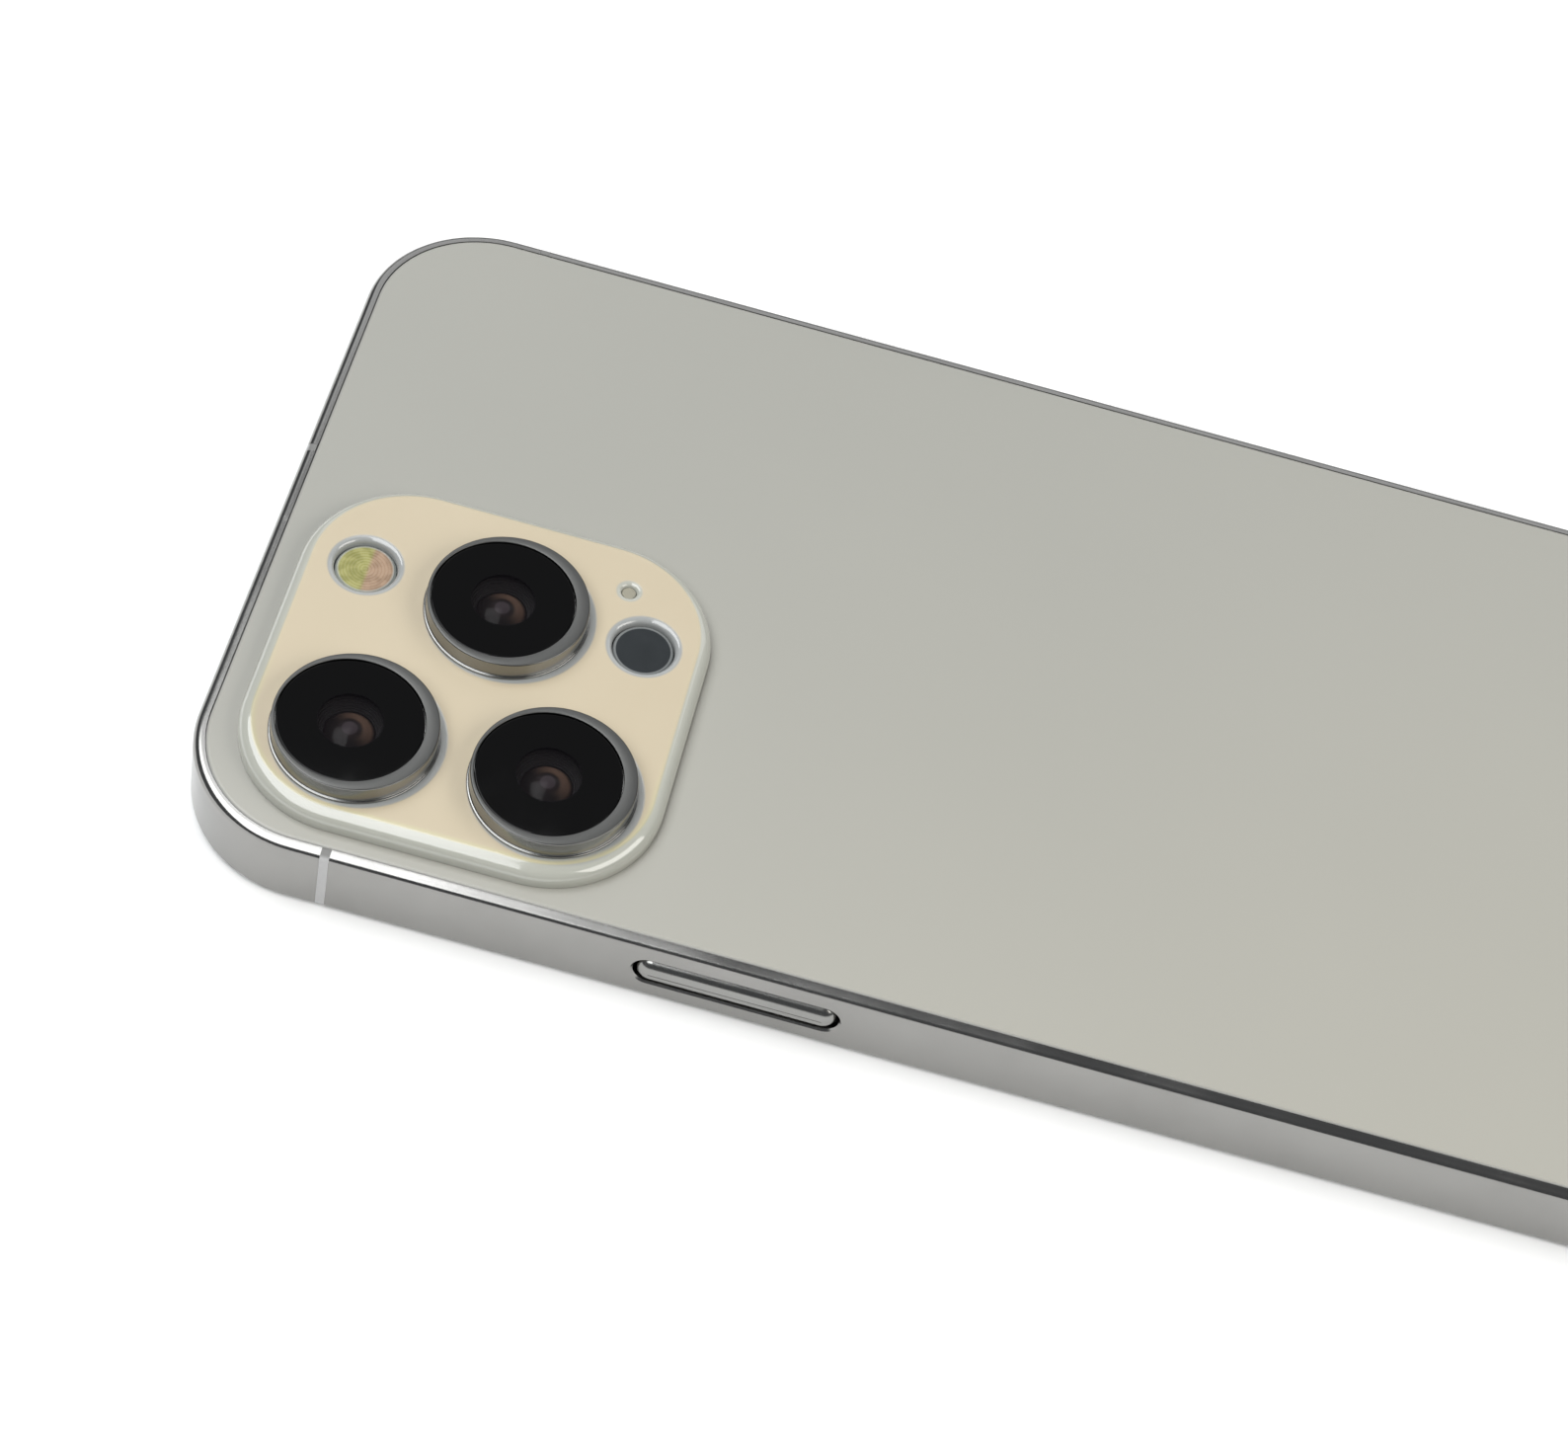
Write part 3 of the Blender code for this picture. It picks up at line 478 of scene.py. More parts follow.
def holePlaces():
    spots = [bottomHoles["first"] + bottomHoles["pitch"] * k for k in range(bottomHoles["right"])]
    spots += [-bottomHoles["first"] - bottomHoles["pitch"] * k for k in range(bottomHoles["left"])]
    return spots


def makeSideBand():
    bm = bandSlab()
    past = band["overcut"]
    bm = carved(bm, bodySlab(band["rim"], band["ledgeHigh"], bandHigh.z + 2 * past))
    bm = carved(bm, bodySlab(band["wall"], band["ledgeLow"] - past / 2,
                             band["ledgeHigh"] + past / 2))
    bm = carved(bm, bodySlab(band["rim"] + band["ledgeGap"], -2 * past, band["ledgeLow"]))
    cuts = []
    for side, y, length, height, corner in sideSlots.values():
        hole = lippedHole(length, height, corner, band["wall"] + past, band["slotLip"])
        cuts.append(facing(hole, (side, 0, 0), (side * bodyWidth / 2, y, band["midHeight"])))
    end = Vector((0, -bodyLength / 2, band["midHeight"]))
    width, height, depth = bottomHoles["portWidth"], bottomHoles["portHeight"], bottomHoles["depth"]
    port = lippedHole(width, height, height / 2 - 0.01, depth, bottomHoles["portLip"])
    cuts.append(facing(port, (0, -1, 0), end))
    radius, lip = bottomHoles["radius"], bottomHoles["holeLip"]
    for x in holePlaces():
        hole = turned([(0, -depth), (radius, -depth), (radius, -lip), (radius + lip, 0),
                       (radius + lip, past), (0, past)], 24)
        cuts.append(facing(hole, (0, -1, 0), end + Vector((x, 0, 0))))
    shank, seat = bottomHoles["screwShank"], bottomHoles["screwSeat"]
    sunk, lip = bottomHoles["screwSunk"], bottomHoles["screwLip"]
    for node in ("bottom_screw_left", "bottom_screw_right"):
        hole = turned([(0, -depth), (shank, -depth), (shank, -sunk), (seat, -sunk), (seat, -lip),
                       (seat + lip, 0), (seat + lip, past), (0, past)], 32)
        cuts.append(facing(hole, (0, -1, 0), end + Vector((cadCentre(node).x, 0, 0))))
    bm = carved(bm, joined(cuts))
    grooves = [breakBlock(place, out, band["breakWidth"], band["grooveDepth"])
               for place, out in breakPlaces().values()]
    bm = carved(bm, joined(grooves))
    paint = steelPaint("polishedSteel", band["colour"], band["rough"], (1, 1, 10))
    finish("sideBand", bm, paint, "phone_body", ["side_band"])


def makeAntennaBreaks():
    paint = Paint("antennaPlastic", Specular_IOR_Level=0.4)
    fleck = paint.noise(0.25, detail=4.0)
    x, y, z = paint.axes()
    pale = paint.mix(fleck, band["breakDark"], band["breakPale"])
    # painted shade: the line is painted darker within 0.35 mm of the band's top edge, for the dark
    # reflection seen there
    shaded = z.between(bandHigh.z - 0.35, bandHigh.z - 0.05)
    paint.set(Base_Color=paint.mix(shaded, pale, band["breakTopShade"]),
              Roughness=0.36 + fleck * 0.12)
    paint.bump(fleck, 0.15, 0.006)
    width = band["breakWidth"] - 2 * band["breakGap"]
    for name, (place, out) in breakPlaces().items():
        block = breakBlock(place, out, width, band["breakDepth"])
        strip = carved(bandSlab(), block, "INTERSECT")
        finish(name.replace("antenna_break", "antennaLine"), strip, paint, "phone_body", [name])


backGlass = {
    "edgeRound": 0.28,
    "opening": (31, 31, 8, 0, 20),   # width, length, corner and heights of its cutter
    "cloudSize": 26.0,
    "frostSize": 0.09,
    # painted light: the back glass's shaded and lit colours
    "coolShadedColour": (0.283, 0.283, 0.256),
    "warmLitColour": (0.372, 0.362, 0.318),
    "edgeHighlightColour": (0.42, 0.42, 0.40),
    "rough": 0.34,
}


def makeBackGlass():
    inset = glassLow.x - bandLow.x
    bm = bodySlab(inset, glassLow.z, glassHigh.z)
    softened(bm, glassHigh.z, backGlass["edgeRound"], 4)
    middle = cadCentre("camera_plateau")
    bm = carved(bm, slab(*backGlass["opening"], 12, (middle.x, middle.y)))
    paint = Paint("satinBackGlass", Coat_Roughness=0.15, Specular_IOR_Level=0.5)
    x, y, z = paint.axes()
    # painted light: the glass is painted paler and warmer towards the -X, -Y corner, with random
    # clouds mixed in
    paintedLightSlope = (y * -0.55 - x * 0.9).between(-55, 70)
    cloud = paint.noise(backGlass["cloudSize"], detail=2.0)
    frost = paint.noise(backGlass["frostSize"], detail=2.0)
    tone = paint.mix(paintedLightSlope * 0.85 + cloud * 0.15, backGlass["coolShadedColour"], backGlass["warmLitColour"])
    # painted highlight: a paler line along the rounded top edge, which is also glossier and more
    # coated
    edge = z.between(glassHigh.z - 0.03, glassHigh.z - 0.12)
    paint.set(Base_Color=paint.mix(edge, tone, backGlass["edgeHighlightColour"]),
              Roughness=backGlass["rough"] + cloud * 0.05 + frost * 0.05 - edge * 0.2,
              Coat_Weight=0.3 + edge * 0.4)
    paint.bump(frost, 0.06, 0.003)
    finish("backGlass", bm, paint, "phone_body", ["back_glass"])


display = {
    "edgeRound": 0.28,
    "slit": (11.0, 1.0, 0.3),    # width, length and corner
    "grille": (10.8, 0.62, 0.25),
    "border": 2.35,
    "notchHalf": 17.0,
    "notchReach": 9.2,
    "inkColour": (0.002, 0.002, 0.002),
    "screenColour": (0.0075, 0.0078, 0.0090),
}


def makeDisplay():
    inset = displayLow.x - bandLow.x
    bm = bodySlab(inset, displayLow.z, displayHigh.z)
    softened(bm, displayLow.z, display["edgeRound"], 4)
    meshLow, meshHigh = cadBox("earpiece_mesh")
    meshY = (meshLow.y + meshHigh.y) / 2
    bm = carved(bm, slab(*display["slit"], -1, 2, 6, (0, meshY)))
    paint = Paint("displayGlass", Coat_Weight=1.0, Coat_Roughness=0.02, IOR=1.5)
    x, y, z = paint.axes()
    fromEdge = (bodyWidth / 2 - inset - abs(x)).least(bodyLength / 2 - inset - abs(y))
    active = fromEdge.between(display["border"], display["border"] + 0.1)
    notch = (abs(x) < display["notchHalf"]) * (y > bodyLength / 2 - display["notchReach"])
    smear = paint.noise(14.0, detail=4.0).between(0.4, 0.8)
    screen = paint.mix(active * (1 - notch), display["inkColour"], display["screenColour"])
    paint.set(Base_Color=screen, Roughness=0.05 + smear * 0.05)
    paint.bump(smear, 0.02, 0.002)
    finish("displayGlass", bm, paint, "phone_body", ["display_glass"])
    grille = slab(*display["grille"], meshLow.z, meshHigh.z, 6, (0, meshY))
    finish("earpieceMesh", grille, meshPaint(), "phone_body", ["earpiece_mesh"])


def meshPaint(name="fineMesh", gapColour=(0.012, 0.012, 0.012), threadColour=(0.09, 0.09, 0.09)):
    # woven acoustic mesh
    paint = Paint(name, Metallic=0.4)
    x, y, z = paint.axes()
    pitch = 0.16
    weave = (x * (2 * math.pi / pitch)).sine() * ((y + z) * (2 * math.pi / pitch)).sine()
    thread = weave.between(-0.5, 0.5)
    paint.set(Base_Color=paint.mix(thread, gapColour, threadColour),
              Roughness=0.75 - thread * 0.2)
    paint.bump(thread, 0.5, 0.03)
    return paint


plateauLow, plateauHigh = cadBox("camera_plateau")
plateauMid = (plateauLow + plateauHigh) / 2
lensMids = [cadCentre(f"lens_cover_{k}") for k in (1, 2, 3)]
flashMid, depthMid = cadCentre("flash_window"), cadCentre("depth_window")
micMid = cadCentre("rear_mic_mesh")

plateau = {
    "corner": 10.0,
    "round": 1.2,
    "lensHole": 5.2,
    "windowHole": 2.7,
    "windowLip": 0.45,
    "micHole": 0.65,
    "micLip": 0.35,
    "overcut": 1.0,
    "windowHalo": 3.15,          # where the cream sheet stops round the flash and depth windows
    "micHalo": 1.0,
    "soft": 0.25,                # width of the cream sheet's soft edges there
    "sheetInset": 0.85,
    "sheetOff": 0.2,
    "sheetCut": 7.35,
    "sheetShift": -0.75,
    "cream": (0.450, 0.385, 0.272),
    "creamPale": (0.478, 0.412, 0.298),
    "edgeLine": (0.47, 0.435, 0.270),
    "clear": (0.37, 0.375, 0.330),
    "clearPale": (0.43, 0.435, 0.390),
    "halo": (0.31, 0.32, 0.315),
}


def makePlateau():
    side = plateauHigh.x - plateauLow.x
    middle = (plateauMid.x, plateauMid.y)
    bm = slab(side, side, plateau["corner"], plateauLow.z, plateauHigh.z, 24, middle)
    softened(bm, plateauHigh.z, plateau["round"], 8)
    cuts = []
    top, hole, past = plateauHigh.z, plateau["lensHole"], plateauHigh.z + 2 * plateau["overcut"]
    for spot in lensMids:
        cuts.append(turned([(0, 0), (hole, 0), (hole, past), (0, past)], 48, at=(spot.x, spot.y)))
    large = (plateau["windowHole"], plateau["windowLip"], 64, 5)
    small = (plateau["micHole"], plateau["micLip"], 32, 4)
    past = top + plateau["overcut"]
    for spot, cut in ((flashMid, large), (depthMid, large), (micMid, small)):
        hole, lip, steps, lipSteps = cut
        profile = [(0, 0), (hole, 0), (hole, top - lip)]
        profile += arc(hole + lip, top - lip, lip, 180, 90, lipSteps)
        profile += [(hole + lip, past), (0, past)]
        cuts.append(turned(profile, steps, at=(spot.x, spot.y)))
    bm = carved(bm, joined(cuts))

    paint = Paint("creamPlateauGlass", Coat_Roughness=0.03, Specular_IOR_Level=0.5)
    x, y, z = paint.axes()
    inset = plateau["sheetInset"]
    sheetMid = (middle[0] + plateau["sheetOff"], middle[1])
    inwards = cornerDistance(paint, sheetMid, side, plateau["corner"])
    sheet = inwards.between(inset + 0.1, inset + 0.3)
    # the sheet's edge line is strongest on the -X side
    line = inwards.between(inset, inset + 0.2) * inwards.between(inset + 0.7, inset + 0.3)
    line = line * x.between(middle[0], middle[0] - side * 0.35, 0.15, 1.0)
    beyond = 1.0
    for spot in lensMids:
        away = paint.far((spot.x, spot.y + plateau["sheetShift"]))
        sheet = sheet * away.between(plateau["sheetCut"] - 0.12, plateau["sheetCut"] + 0.12)
        beyond = beyond * away.between(plateau["sheetCut"], plateau["sheetCut"] + 0.4)
    halo, soft = plateau["windowHalo"], plateau["soft"]
    for spot in (flashMid, depthMid):
        away = paint.far((spot.x, spot.y))
        sheet = sheet * away.between(halo, halo + soft)
        beyond = beyond * away.between(halo + 0.15, halo + 0.45)
    away = paint.far((micMid.x, micMid.y))
    sheet = sheet * away.between(plateau["micHalo"], plateau["micHalo"] + soft)
    cloud = paint.noise(9.0, detail=3.0)
    grain = paint.noise(0.12, detail=2.0)
    cream = paint.mix(cloud, plateau["cream"], plateau["creamPale"])
    clear = paint.mix(cloud * 0.7, plateau["clear"], plateau["clearPale"])
    clear = paint.mix(beyond, plateau["halo"], clear)
    tone = paint.mix(line * 0.75, paint.mix(sheet, clear, cream), plateau["edgeLine"])
    paint.set(Base_Color=tone, Roughness=0.10 + sheet * 0.24 + grain * 0.04,
              Coat_Weight=0.9 - sheet * 0.65)
    paint.bump(sheet * 1.0 + grain * 0.03, 0.35, 0.05)
    finish("cameraPlateau", bm, paint, "phone_body", ["camera_plateau"])


lens = {
    "foot": 0.18,
    "footHigh": 0.20,
    "footRound": 0.08,
    "fillet": 0.06,
    "ringRound": 0.13,
    "lip": 0.08,
    "ringColour": (0.24, 0.242, 0.235),
    "ringPale": (0.27, 0.27, 0.265),
    "topFaceShadeColour": (0.105, 0.106, 0.103),
    "inkColour": (0.0035, 0.0035, 0.0036),
    "clearColour": (0.010, 0.009, 0.011),
    "stepStart": 3.1,            # the barrel's stepped throat
    "stepIn": 0.18,
    "stepDown": 0.16,
    "stepCount": 5,
    "elementRadius": 2.15,
    "elementDome": 0.75,
    "barrelDark": (0.008, 0.007, 0.008),
    "barrelPale": (0.020, 0.018, 0.018),
    # painted reflections on the front element: a centre glint and the coating's reflection
    "centreGlintColour": (0.05, 0.04, 0.045),
    "elementColour": (0.018, 0.014, 0.014),
    "coatingReflectionDark": (0.014, 0.012, 0.012),
    "coatingReflectionPale": (0.15, 0.095, 0.070),
    "coverRadius": 6.1,
    "bore": 5.4,
    "windowRadius": 2.75,
    "barrelRadius": 3.8,
}


def makeLensRing(number, middle, paint):
    low, high = cadBox(f"lens_ring_{number}")
    coverLow, coverHigh = cadBox(f"lens_cover_{number}")
    base, top, seat = low.z, high.z, lens["coverRadius"] + 0.05
    wall, ledge = (high.x - low.x) / 2, coverLow.z - 0.05
    foot = wall + lens["foot"]
    footRound, fillet, edge, lip = lens["footRound"], lens["fillet"], lens["ringRound"], lens["lip"]
    profile = [(lens["bore"], base), (foot, base)]
    profile += arc(foot - footRound, base + lens["footHigh"] - footRound, footRound, 0, 90, 3)
    profile += arc(wall + fillet, base + lens["footHigh"] + fillet, fillet, 270, 180, 3)
    profile += arc(wall - edge, top - edge, edge, 0, 90, 4)
    profile += arc(seat + lip, top - lip, lip, 90, 180, 4)
    profile += [(seat, ledge), (lens["bore"], ledge)]
    bm = turned(profile, 128, hollow=True)
    outside = [v for v in bm.verts if v.co.xy.length > seat + 0.3]
    bmesh.ops.translate(bm, vec=(0, (low.y + high.y) / 2 - middle.y, 0), verts=outside)
    bmesh.ops.translate(bm, vec=(middle.x, middle.y, 0), verts=bm.verts)
    finish(f"lensRing{number}", bm, paint, "phone_body", [f"lens_ring_{number}"],
           sharp=38)


def makeLensCover(number, middle):
    low, high = cadBox(f"lens_cover_{number}")
    radius = lens["coverRadius"]
    profile = [(0, low.z), (radius, low.z)] + arc(radius - 0.1, high.z - 0.1, 0.1, 0, 90, 4)
    profile += [(0, high.z)]
    bm = turned(profile, 128, at=(middle.x, middle.y))
    paint = Paint(f"coverGlass{number}", Coat_Roughness=0.02, Specular_IOR_Level=0.22)
    away = paint.far((middle.x, middle.y))
    ink = away.between(lens["windowRadius"] - 0.15, lens["windowRadius"] + 0.05)
    dust = paint.noise(5.0, detail=5.0).between(0.5, 0.8)
    paint.set(Base_Color=paint.mix(ink, lens["clearColour"], lens["inkColour"]),
              Roughness=0.03 + dust * 0.03, Alpha=0.16 + ink * 0.84)
    finish(f"lensCover{number}", bm, paint, "phone_body", [f"lens_cover_{number}"])


def makeLensBarrel(number, middle):
    low, high = cadBox(f"lens_barrel_{number}")
    body = f"lens_barrel_{number}"
    radius, top = lens["barrelRadius"], high.z
    profile = [(0, low.z), (radius, low.z), (radius, top - 0.15), (radius - 0.15, top),
               (lens["stepStart"], top)]
    depth = top
    for step in range(lens["stepCount"]):
        inner = lens["stepStart"] - lens["stepIn"] * (step + 1)
        depth -= lens["stepDown"]
        profile += [(inner + 0.12, depth), (inner, depth)]
    profile += [(inner, depth - 0.3), (0, depth - 0.3)]
    bm = turned(profile, 72, at=(middle.x, middle.y))
    paint = Paint(f"barrelBlack{number}", Specular_IOR_Level=0.3)
    fleck = paint.noise(0.12, detail=3.0)
    paint.set(Base_Color=paint.mix(fleck, lens["barrelDark"], lens["barrelPale"]),
              Roughness=0.55 + fleck * 0.2)
    paint.bump(fleck, 0.2, 0.01)
    finish(f"lensBarrel{number}", bm, paint, body, [f"lens_barrel_{number}"])

    inner, dome = lens["elementRadius"], lens["elementDome"]
    radius = (inner ** 2 + dome ** 2) / (2 * dome)
    spread = math.degrees(math.asin(inner / radius))
    crown = arc(0, depth - 0.05 + dome - radius, radius, 90 - spread, 90, 12)
    crown[-1] = (0, crown[-1][1])
    bm = turned([(0, depth - 0.25), (inner, depth - 0.25)] + crown, 72, at=(middle.x, middle.y))
    paint = Paint(f"frontElement{number}", Coat_Weight=0.06, Coat_Roughness=0.03,
                  Specular_IOR_Level=0.10)
    away = paint.far((middle.x, middle.y))
    x, y, z = paint.axes()
    # painted reflection: a paler dot in the middle of the element stands for a small glint
    centreGlint = away.between(0.55, 0.75)
    ring = away.between(0.85, 1.25) * away.between(2.1, 1.7)
    # painted reflection: a brownish ring round the middle, paler towards one side, stands for the
    # coating's reflection
    reflectionLean = ((x - middle.x) * 0.75 - (y - middle.y) * 0.65).between(-0.6, 1.9)
    coatingReflection = paint.mix(reflectionLean, lens["coatingReflectionDark"], lens["coatingReflectionPale"])
    tone = paint.mix(ring, lens["elementColour"], coatingReflection)
    paint.set(Base_Color=paint.mix(centreGlint, lens["centreGlintColour"], tone), Roughness=0.06 + ring * 0.05)
    finish(f"frontElement{number}", bm, paint, body)


def makeLenses():
    ringPaint = steelPaint("ringSteel", lens["ringColour"], 0.16, (1, 1, 6))
    x, y, z = ringPaint.axes()
    top = cadBox("lens_ring_1")[1].z
    # painted shade: the flat top face is painted darker, for the dark reflection it shows; it is
    # also rougher
    rim = z.between(top - 0.07, top - 0.02)   # the flat top face is darker and more matt
    brushed = ringPaint.noise(0.3, detail=3.0)
    wall = ringPaint.mix(brushed, lens["ringPale"], lens["ringColour"])
    ringPaint.set(Base_Color=ringPaint.mix(rim, wall, lens["topFaceShadeColour"]),
                  Roughness=0.16 + rim * 0.22 + brushed * 0.06)
    for number, middle in enumerate(lensMids, start=1):
        makeLensRing(number, middle, ringPaint)
        makeLensCover(number, middle)
        makeLensBarrel(number, middle)


window = {
    "radius": 2.62,
    "flashBevel": 0.2,
    "depthBevel": 0.1,
    "micRadius": 0.6,
    "yellowDark": (0.20, 0.195, 0.050),
    "yellowPale": (0.29, 0.28, 0.095),
    "amberDark": (0.24, 0.155, 0.095),
    "amberPale": (0.32, 0.215, 0.14),
    "flashRim": (0.30, 0.32, 0.30),
    "depthDark": (0.018, 0.021, 0.023),
    "depthPale": (0.027, 0.031, 0.034),
    "depthRim": (0.16, 0.17, 0.17),
    "micGap": (0.20, 0.19, 0.15),
    "micThread": (0.42, 0.40, 0.32),
}


def makeFlash():
    low, high = cadBox("flash_window")
    radius, bevel = window["radius"], window["flashBevel"]
    profile = [(0, low.z), (radius, low.z), (radius, high.z - bevel), (radius - bevel, high.z),
               (0, high.z)]
    bm = turned(profile, 64, at=(flashMid.x, flashMid.y))
    paint = Paint("flashLens", Coat_Weight=0.3, Coat_Roughness=0.08)
    x, y, z = paint.axes()
    away = paint.far((flashMid.x, flashMid.y))
    half = (y - flashMid.y + 0.2).between(0.25, -0.25)
    ridges = (away * 22.0).sine().between(-1, 1)
    facet = paint.noise(0.8, detail=2.0)
    left = paint.mix(facet.between(0.35, 0.65), window["yellowDark"], window["yellowPale"])
    right = paint.mix(facet.between(0.35, 0.65), window["amberDark"], window["amberPale"])
    rim = away.between(2.2, 2.5)
    tone = paint.mix(rim, paint.mix(half, left, right), window["flashRim"])
    paint.set(Base_Color=tone, Roughness=0.26 + ridges * 0.08)
    paint.bump(ridges * 0.3 + facet, 0.12, 0.03)
    finish("flashWindow", bm, paint, "phone_body", ["flash_window"])


def makeDepthSensor():
    low, high = cadBox("depth_window")
    radius, bevel = window["radius"], window["depthBevel"]
    bm = turned([(0, low.z), (radius, low.z), (radius, high.z - bevel), (radius - bevel, high.z),
                 (0, high.z)], 64, at=(depthMid.x, depthMid.y))
    paint = Paint("darkWindow", Coat_Weight=0.05, Coat_Roughness=0.04, Specular_IOR_Level=0.15)
    away = paint.far((depthMid.x, depthMid.y))
    haze = paint.noise(2.5, detail=2.0)
    tone = paint.mix(haze, window["depthDark"], window["depthPale"])
    paint.set(Base_Color=paint.mix(away.between(2.3, 2.4), tone, window["depthRim"]),
              Roughness=0.18 + haze * 0.08)
    finish("depthWindow", bm, paint, "phone_body", ["depth_window"])


def makeRearMic():
    low, high = cadBox("rear_mic_mesh")
    radius = window["micRadius"]
    bm = turned([(0, low.z), (radius, low.z), (radius, high.z), (0, high.z)], 24,
                at=(micMid.x, micMid.y))
    paint = meshPaint("micMesh", window["micGap"], window["micThread"])
    finish("rearMicMesh", bm, paint, "phone_body", ["rear_mic_mesh"])


button = {
    "gap": 0.15,
    "proud": 0.30,
    "flange": 0.5,
    "flangeGap": 0.1,
    "flangeLap": 0.2,
    "flangeExtra": (1.4, 0.9, 1.5),   # extra length, extra height and corner
    "edgeRound": 1.25,
    "edgeSteps": 12,
    "lever": (5.0, 1.8, 0.7),    # the ring switch's length, height and corner
    "leverProud": 0.2,
    "leverExtra": (2.0, 0.8, 0.4),
    "leverRound": 0.15,
    "colour": (0.31, 0.31, 0.30),
}


def capPiece(name, node, side, length, height, corner, outer, paint, drop=0.0,
             flange=button["flangeExtra"], edgeRound=button["edgeRound"]):
    # a cap through its slot and its wider flange behind the wall
    y = cadCentre(node).y
    inner = -band["wall"] - button["flangeGap"]
    cap = slab(length, height, corner, inner - button["flangeLap"], outer, 10)
    softened(cap, outer, edgeRound, button["edgeSteps"])
    base = slab(length + flange[0], height + flange[1], flange[2],
                inner - button["flange"], inner, 6)
    bm = carved(cap, base, "UNION")
    facing(bm, (side, 0, 0), (side * bodyWidth / 2, y, band["midHeight"] + drop))
    finish(name, bm, paint, node, [node])


def makeButtons():
    paint = steelPaint("buttonSteel", button["colour"], 0.12, (1, 1, 8))
    gap = 2 * button["gap"]
    for name, node, key in (("powerButton", "power_button", "power"),
                            ("volumeUpButton", "volume_up_button", "volumeUp"),
                            ("volumeDownButton", "volume_down_button", "volumeDown")):
        side, y, length, height, corner = sideSlots[key]
        capPiece(name, node, side, length - gap, height - gap, corner - button["gap"] - 0.01,
                 button["proud"], paint)
    low, high = cadBox("mute_switch")
    drop = (low.z + high.z) / 2 - band["midHeight"]
    capPiece("muteSwitch", "mute_switch", 1, *button["lever"], button["leverProud"], paint, drop,
             button["leverExtra"], button["leverRound"])


tray = {
    "gap": 0.2,                  # both sides of the outer face together
    "faceThick": 1.55,
    "faceRound": 0.06,
    "blade": (13.8, 1.1, 0.5),   # length, height and corner
    "pocket": (12.6, 9.1, 0.15),
    "pocketZ": (-0.3, 2),        # from the tray's middle height
    "pocketX": cadCentre("sim_card").x,
    "pinPlace": -6.0,
    "pinRadius": 0.42,
}


def makeSimTray():
    side, y, length, height, corner = sideSlots["tray"]
    low, high = cadBox("sim_tray")
    gap, step = tray["gap"], -tray["faceThick"]
    face = slab(length - gap, height - gap, corner - gap / 2 - 0.01, step, 0, 10)
    softened(face, 0, tray["faceRound"], 2)
    blade = slab(*tray["blade"], low.x - bodyWidth / 2, step + gap, 4)
    bm = carved(face, blade, "UNION")
    facing(bm, (1, 0, 0), (bodyWidth / 2, y, band["midHeight"]))
    floor, roof = (band["midHeight"] + z for z in tray["pocketZ"])
    pocket = slab(*tray["pocket"], floor, roof, 3, (tray["pocketX"], y))
    pinR, mouth = tray["pinRadius"], tray["pinRadius"] + 0.08
    pin = turned([(0, -3), (pinR, -3), (pinR, -0.06), (mouth, 0.02), (mouth, 1), (0, 1)], 24)
    facing(pin, (1, 0, 0), (bodyWidth / 2, y + tray["pinPlace"], band["midHeight"]))
    bm = carved(bm, joined([pocket, pin]))
    paint = steelPaint("traySteel", band["colour"], 0.16, (1, 1, 8))
    finish("simTray", bm, paint, "sim_tray", ["sim_tray"])


def makePort():
    low, high = cadBox("charging_port")
    middle = cadCentre("charging_port")
    width, height = bottomHoles["portWidth"], bottomHoles["portHeight"]
    tall = high.z - low.z
    shell = slab(high.x - low.x, tall, tall / 2 - 0.02, low.y, high.y, 12)
    hollow = slab(width, height, height / 2 - 0.02, low.y - 1, high.y - bottomHoles["portEnd"], 12)
    bm = carved(shell, hollow)
    turn = Matrix(((1, 0, 0), (0, 0, 1), (0, -1, 0))).to_4x4()
    place = Matrix.Translation((middle.x, 0, middle.z)) @ turn
    bmesh.ops.transform(bm, matrix=place, verts=bm.verts)
    bmesh.ops.recalc_face_normals(bm, faces=bm.faces)
    finish("chargingPort", bm, sheetPaint("portShell", bottomHoles["portColour"]), "phone_body",
           ["charging_port"])


screw = {
    "length": 3.4,
    "shank": 0.5,
    "head": 0.85,
    "seat": 0.8,
    "sunk": 0.1,
    "crown": 0.2,
    "slot": (0.95, 0.24, 0.1),   # one arm of the drive: length, width and corner
    "slotDepth": 0.55,
    "colour": (0.40, 0.40, 0.39),
}


def makeScrews():
    paint = steelPaint("screwSteel", screw["colour"], 0.22, (6, 1, 1))
    end = -bodyLength / 2
    for node, name in (("bottom_screw_left", "bottomScrewLeft"),
                       ("bottom_screw_right", "bottomScrewRight")):
        middle = cadCentre(node)
        shank, head, crown = screw["shank"], screw["head"], screw["crown"]
        profile = [(0, -screw["length"]), (shank, -screw["length"]), (shank, -screw["seat"]),
                   (head, -screw["seat"])]
        profile += arc(head - crown, -screw["sunk"] - crown, crown, 0, 90, 4)
        profile += [(0, -screw["sunk"])]
        bm = turned(profile, 48)
        for k in range(3):
            arm = slab(*screw["slot"], -screw["slotDepth"], 1, 3)
            bmesh.ops.rotate(arm, verts=arm.verts, matrix=Matrix.Rotation(math.pi / 3 * k, 3, "Z"))
            bm = carved(bm, arm)
        facing(bm, (0, -1, 0), (middle.x, end, band["midHeight"]))
        finish(name, bm, paint, "phone_body", [node])


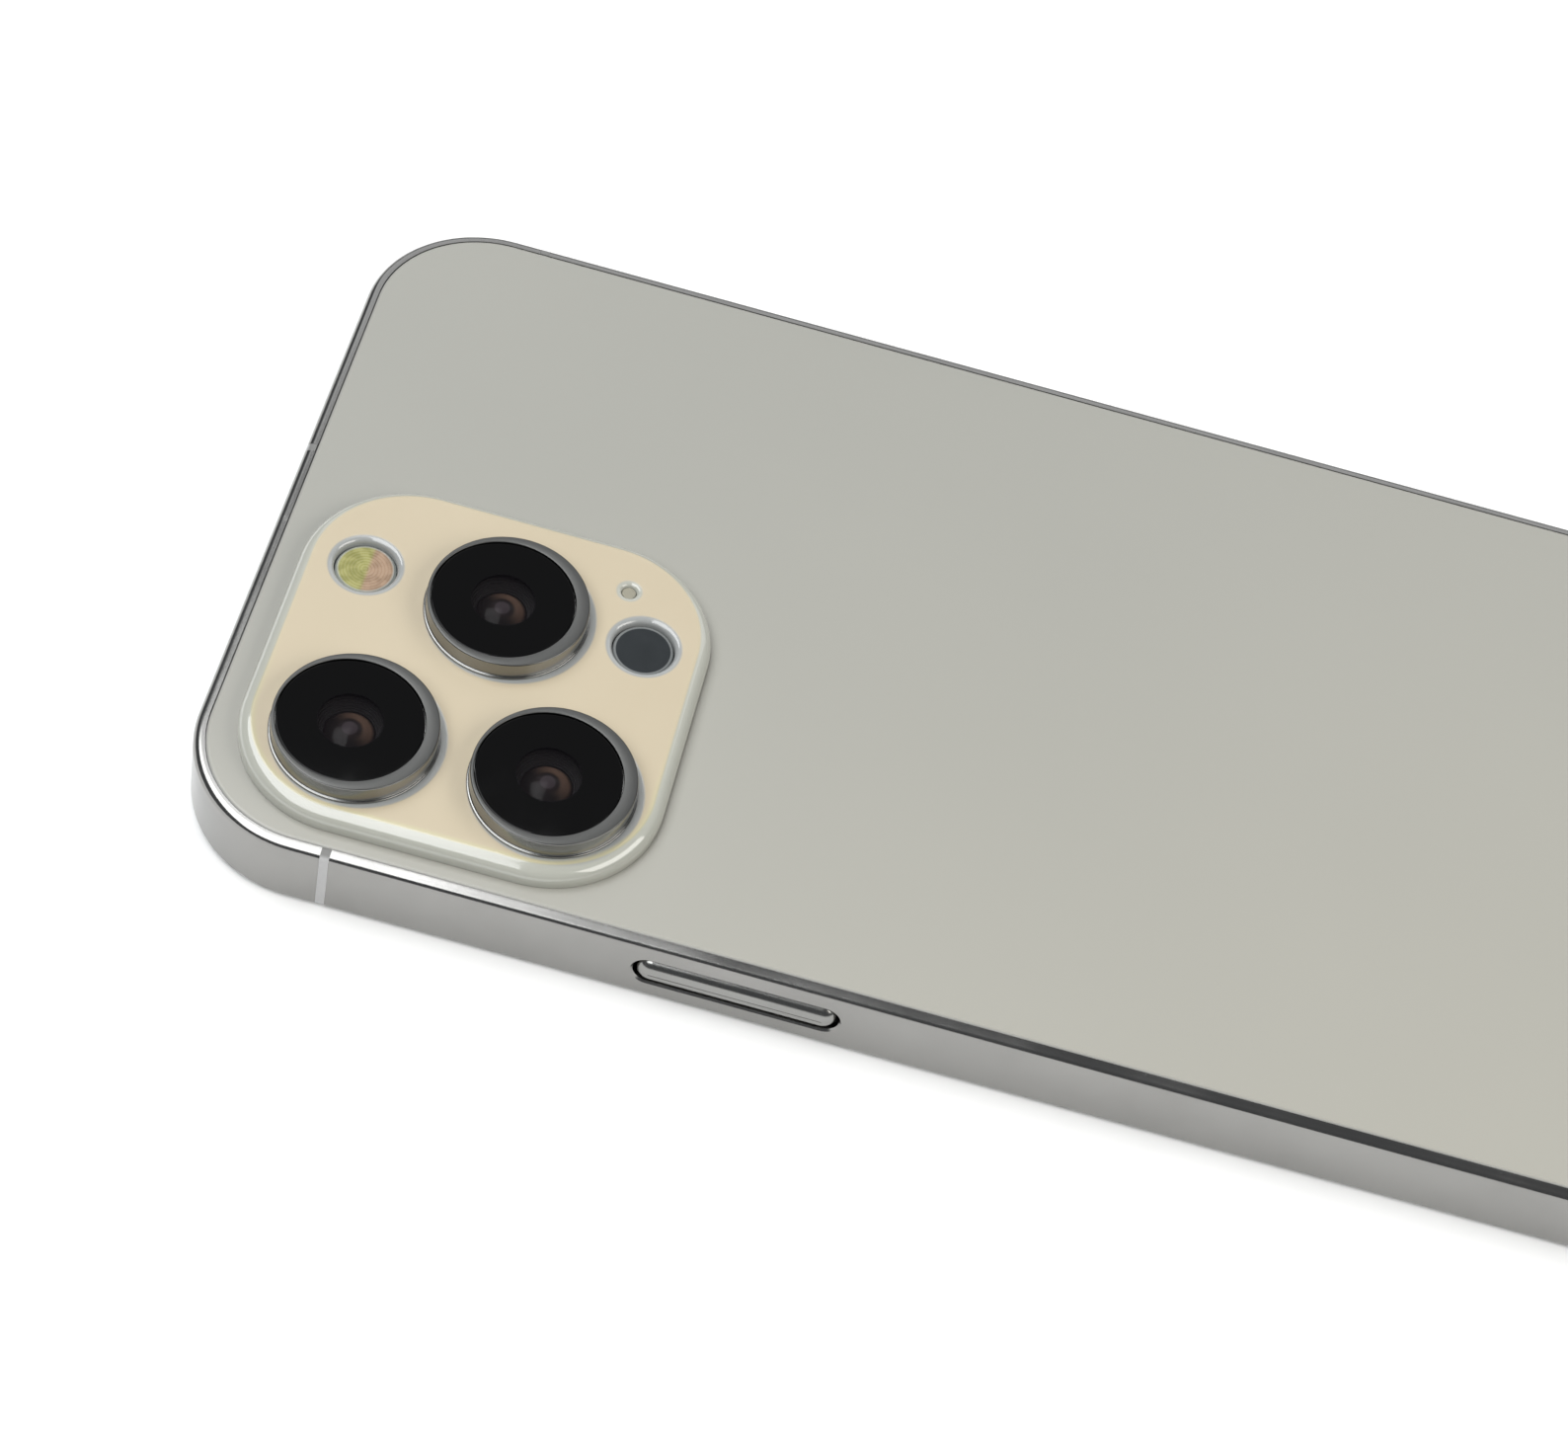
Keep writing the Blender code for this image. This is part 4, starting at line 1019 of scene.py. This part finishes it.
insides = {
    "sheet": (0.52, 0.52, 0.53),
    "magnet": (0.36, 0.36, 0.38),
    "tungsten": (0.26, 0.26, 0.27),
    "black": ((0.010, 0.010, 0.011), (0.028, 0.028, 0.030)),
    "board": ((0.006, 0.028, 0.016), (0.018, 0.065, 0.034)),
    "foil": ((0.016, 0.016, 0.017), (0.040, 0.040, 0.042)),
    "copper": ((0.30, 0.11, 0.05), (0.72, 0.34, 0.18)),
    "copperPitch": 0.55,
    "card": ((0.78, 0.78, 0.77), (0.72, 0.52, 0.20)),   # plastic and gold contacts
    "contactHalf": (4.2, 3.4),
}


def dressInside():
    # the CAD pieces that stay get their own procedural finishes
    sheet = sheetPaint("innerSheet", insides["sheet"])
    magnet = sheetPaint("magnetNickel", insides["magnet"], 0.28)
    tungsten = sheetPaint("motorBlock", insides["tungsten"], 0.4)

    black = Paint("innerBlack", Specular_IOR_Level=0.4)
    fleck = black.noise(0.2, detail=4.0)
    black.set(Base_Color=black.mix(fleck, *insides["black"]),
              Roughness=0.45 + fleck * 0.25)
    black.bump(fleck, 0.2, 0.01)

    board = Paint("circuitBoard", Coat_Weight=0.3)
    x, y, z = board.axes()
    traces = ((x * 9.0).sine() * (y * 9.0 + board.noise(1.5) * 9.0).sine()).between(0.1, 0.35)
    board.set(Base_Color=board.mix(traces, *insides["board"]),
              Roughness=0.34 + traces * 0.1)
    board.bump(traces, 0.3, 0.02)

    foil = Paint("cellFoil", Metallic=0.2)
    wrinkle = foil.noise(3.0, detail=5.0)
    foil.set(Base_Color=foil.mix(wrinkle, *insides["foil"]),
             Roughness=0.38 + wrinkle * 0.2)
    foil.bump(wrinkle, 0.35, 0.05)

    copper = Paint("copperWinding", Metallic=1.0)
    winding = copper.far((0, 0)) * (2 * math.pi / insides["copperPitch"])
    turns = winding.sine().between(-0.8, 0.8)
    copper.set(Base_Color=copper.mix(turns, *insides["copper"]),
               Roughness=0.28 + turns * 0.12)
    copper.bump(turns, 0.6, 0.08)

    card = Paint("cardPlastic")
    x, y, z = card.axes()
    middle, half = cadCentre("sim_card"), insides["contactHalf"]
    contact = ((abs(x - middle.x) < half[0]) * (abs(y - middle.y) < half[1]) * (z < middle.z))
    card.set(Base_Color=card.mix(contact, *insides["card"]),
             Roughness=0.4 - contact * 0.15, Metallic=contact * 1.0)

    finishes = {
        sheet: ["camera_housing_1", "camera_housing_2", "camera_housing_3", "power_switch_bracket",
                "volume_switch_bracket", "sim_reader", "mid_plate", "board_shield", "motor_case"],
        magnet: ["magnet_ring"],
        tungsten: ["motor_mass"],
        black: ["loudspeaker", "bottom_microphone", "earpiece_speaker", "front_camera_module",
                "processor_chip", "charging_flex", "display_flex", "display_gasket",
                "display_panel"],
        board: ["flash_module", "depth_module", "port_tongue", "logic_board"],
        foil: ["battery"],
        copper: ["charging_coil"],
        card: ["sim_card"],
        meshPaint(): ["loudspeaker_mesh"],
    }
    for paint, names in finishes.items():
        for name in names:
            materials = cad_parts[name].data.materials
            materials.clear()
            materials.append(paint.material)


def makeFloor(look):
    bm = bmesh.new()
    bmesh.ops.create_grid(bm, x_segments=1, y_segments=1, size=look["floorSize"] / 2)
    mesh = bpy.data.meshes.new("floor")
    bm.to_mesh(mesh)
    bm.free()
    floor = bpy.data.objects.new("floor", mesh)
    bpy.context.scene.collection.objects.link(floor)
    paint = Paint("palePaper", Specular_IOR_Level=0.2)
    fibre = paint.noise(2.0, detail=4.0)
    shade = tuple(c * 0.985 for c in look["floorColour"])
    paint.set(Base_Color=paint.mix(fibre, look["floorColour"], shade), Roughness=0.9)
    mesh.materials.append(paint.material)


makeCamera(studio)
makeStudio(studio)
makeFloor(studio)
print("studio ready")
makeSideBand()
makeAntennaBreaks()
print("band ready")
makeBackGlass()
makeDisplay()
print("glass faces ready")
makePlateau()
makeLenses()
makeFlash()
makeDepthSensor()
makeRearMic()
print("cameras ready")
makeButtons()
makeSimTray()
makePort()
makeScrews()
print("buttons, tray and port ready")
dressInside()
print("inner finishes ready")
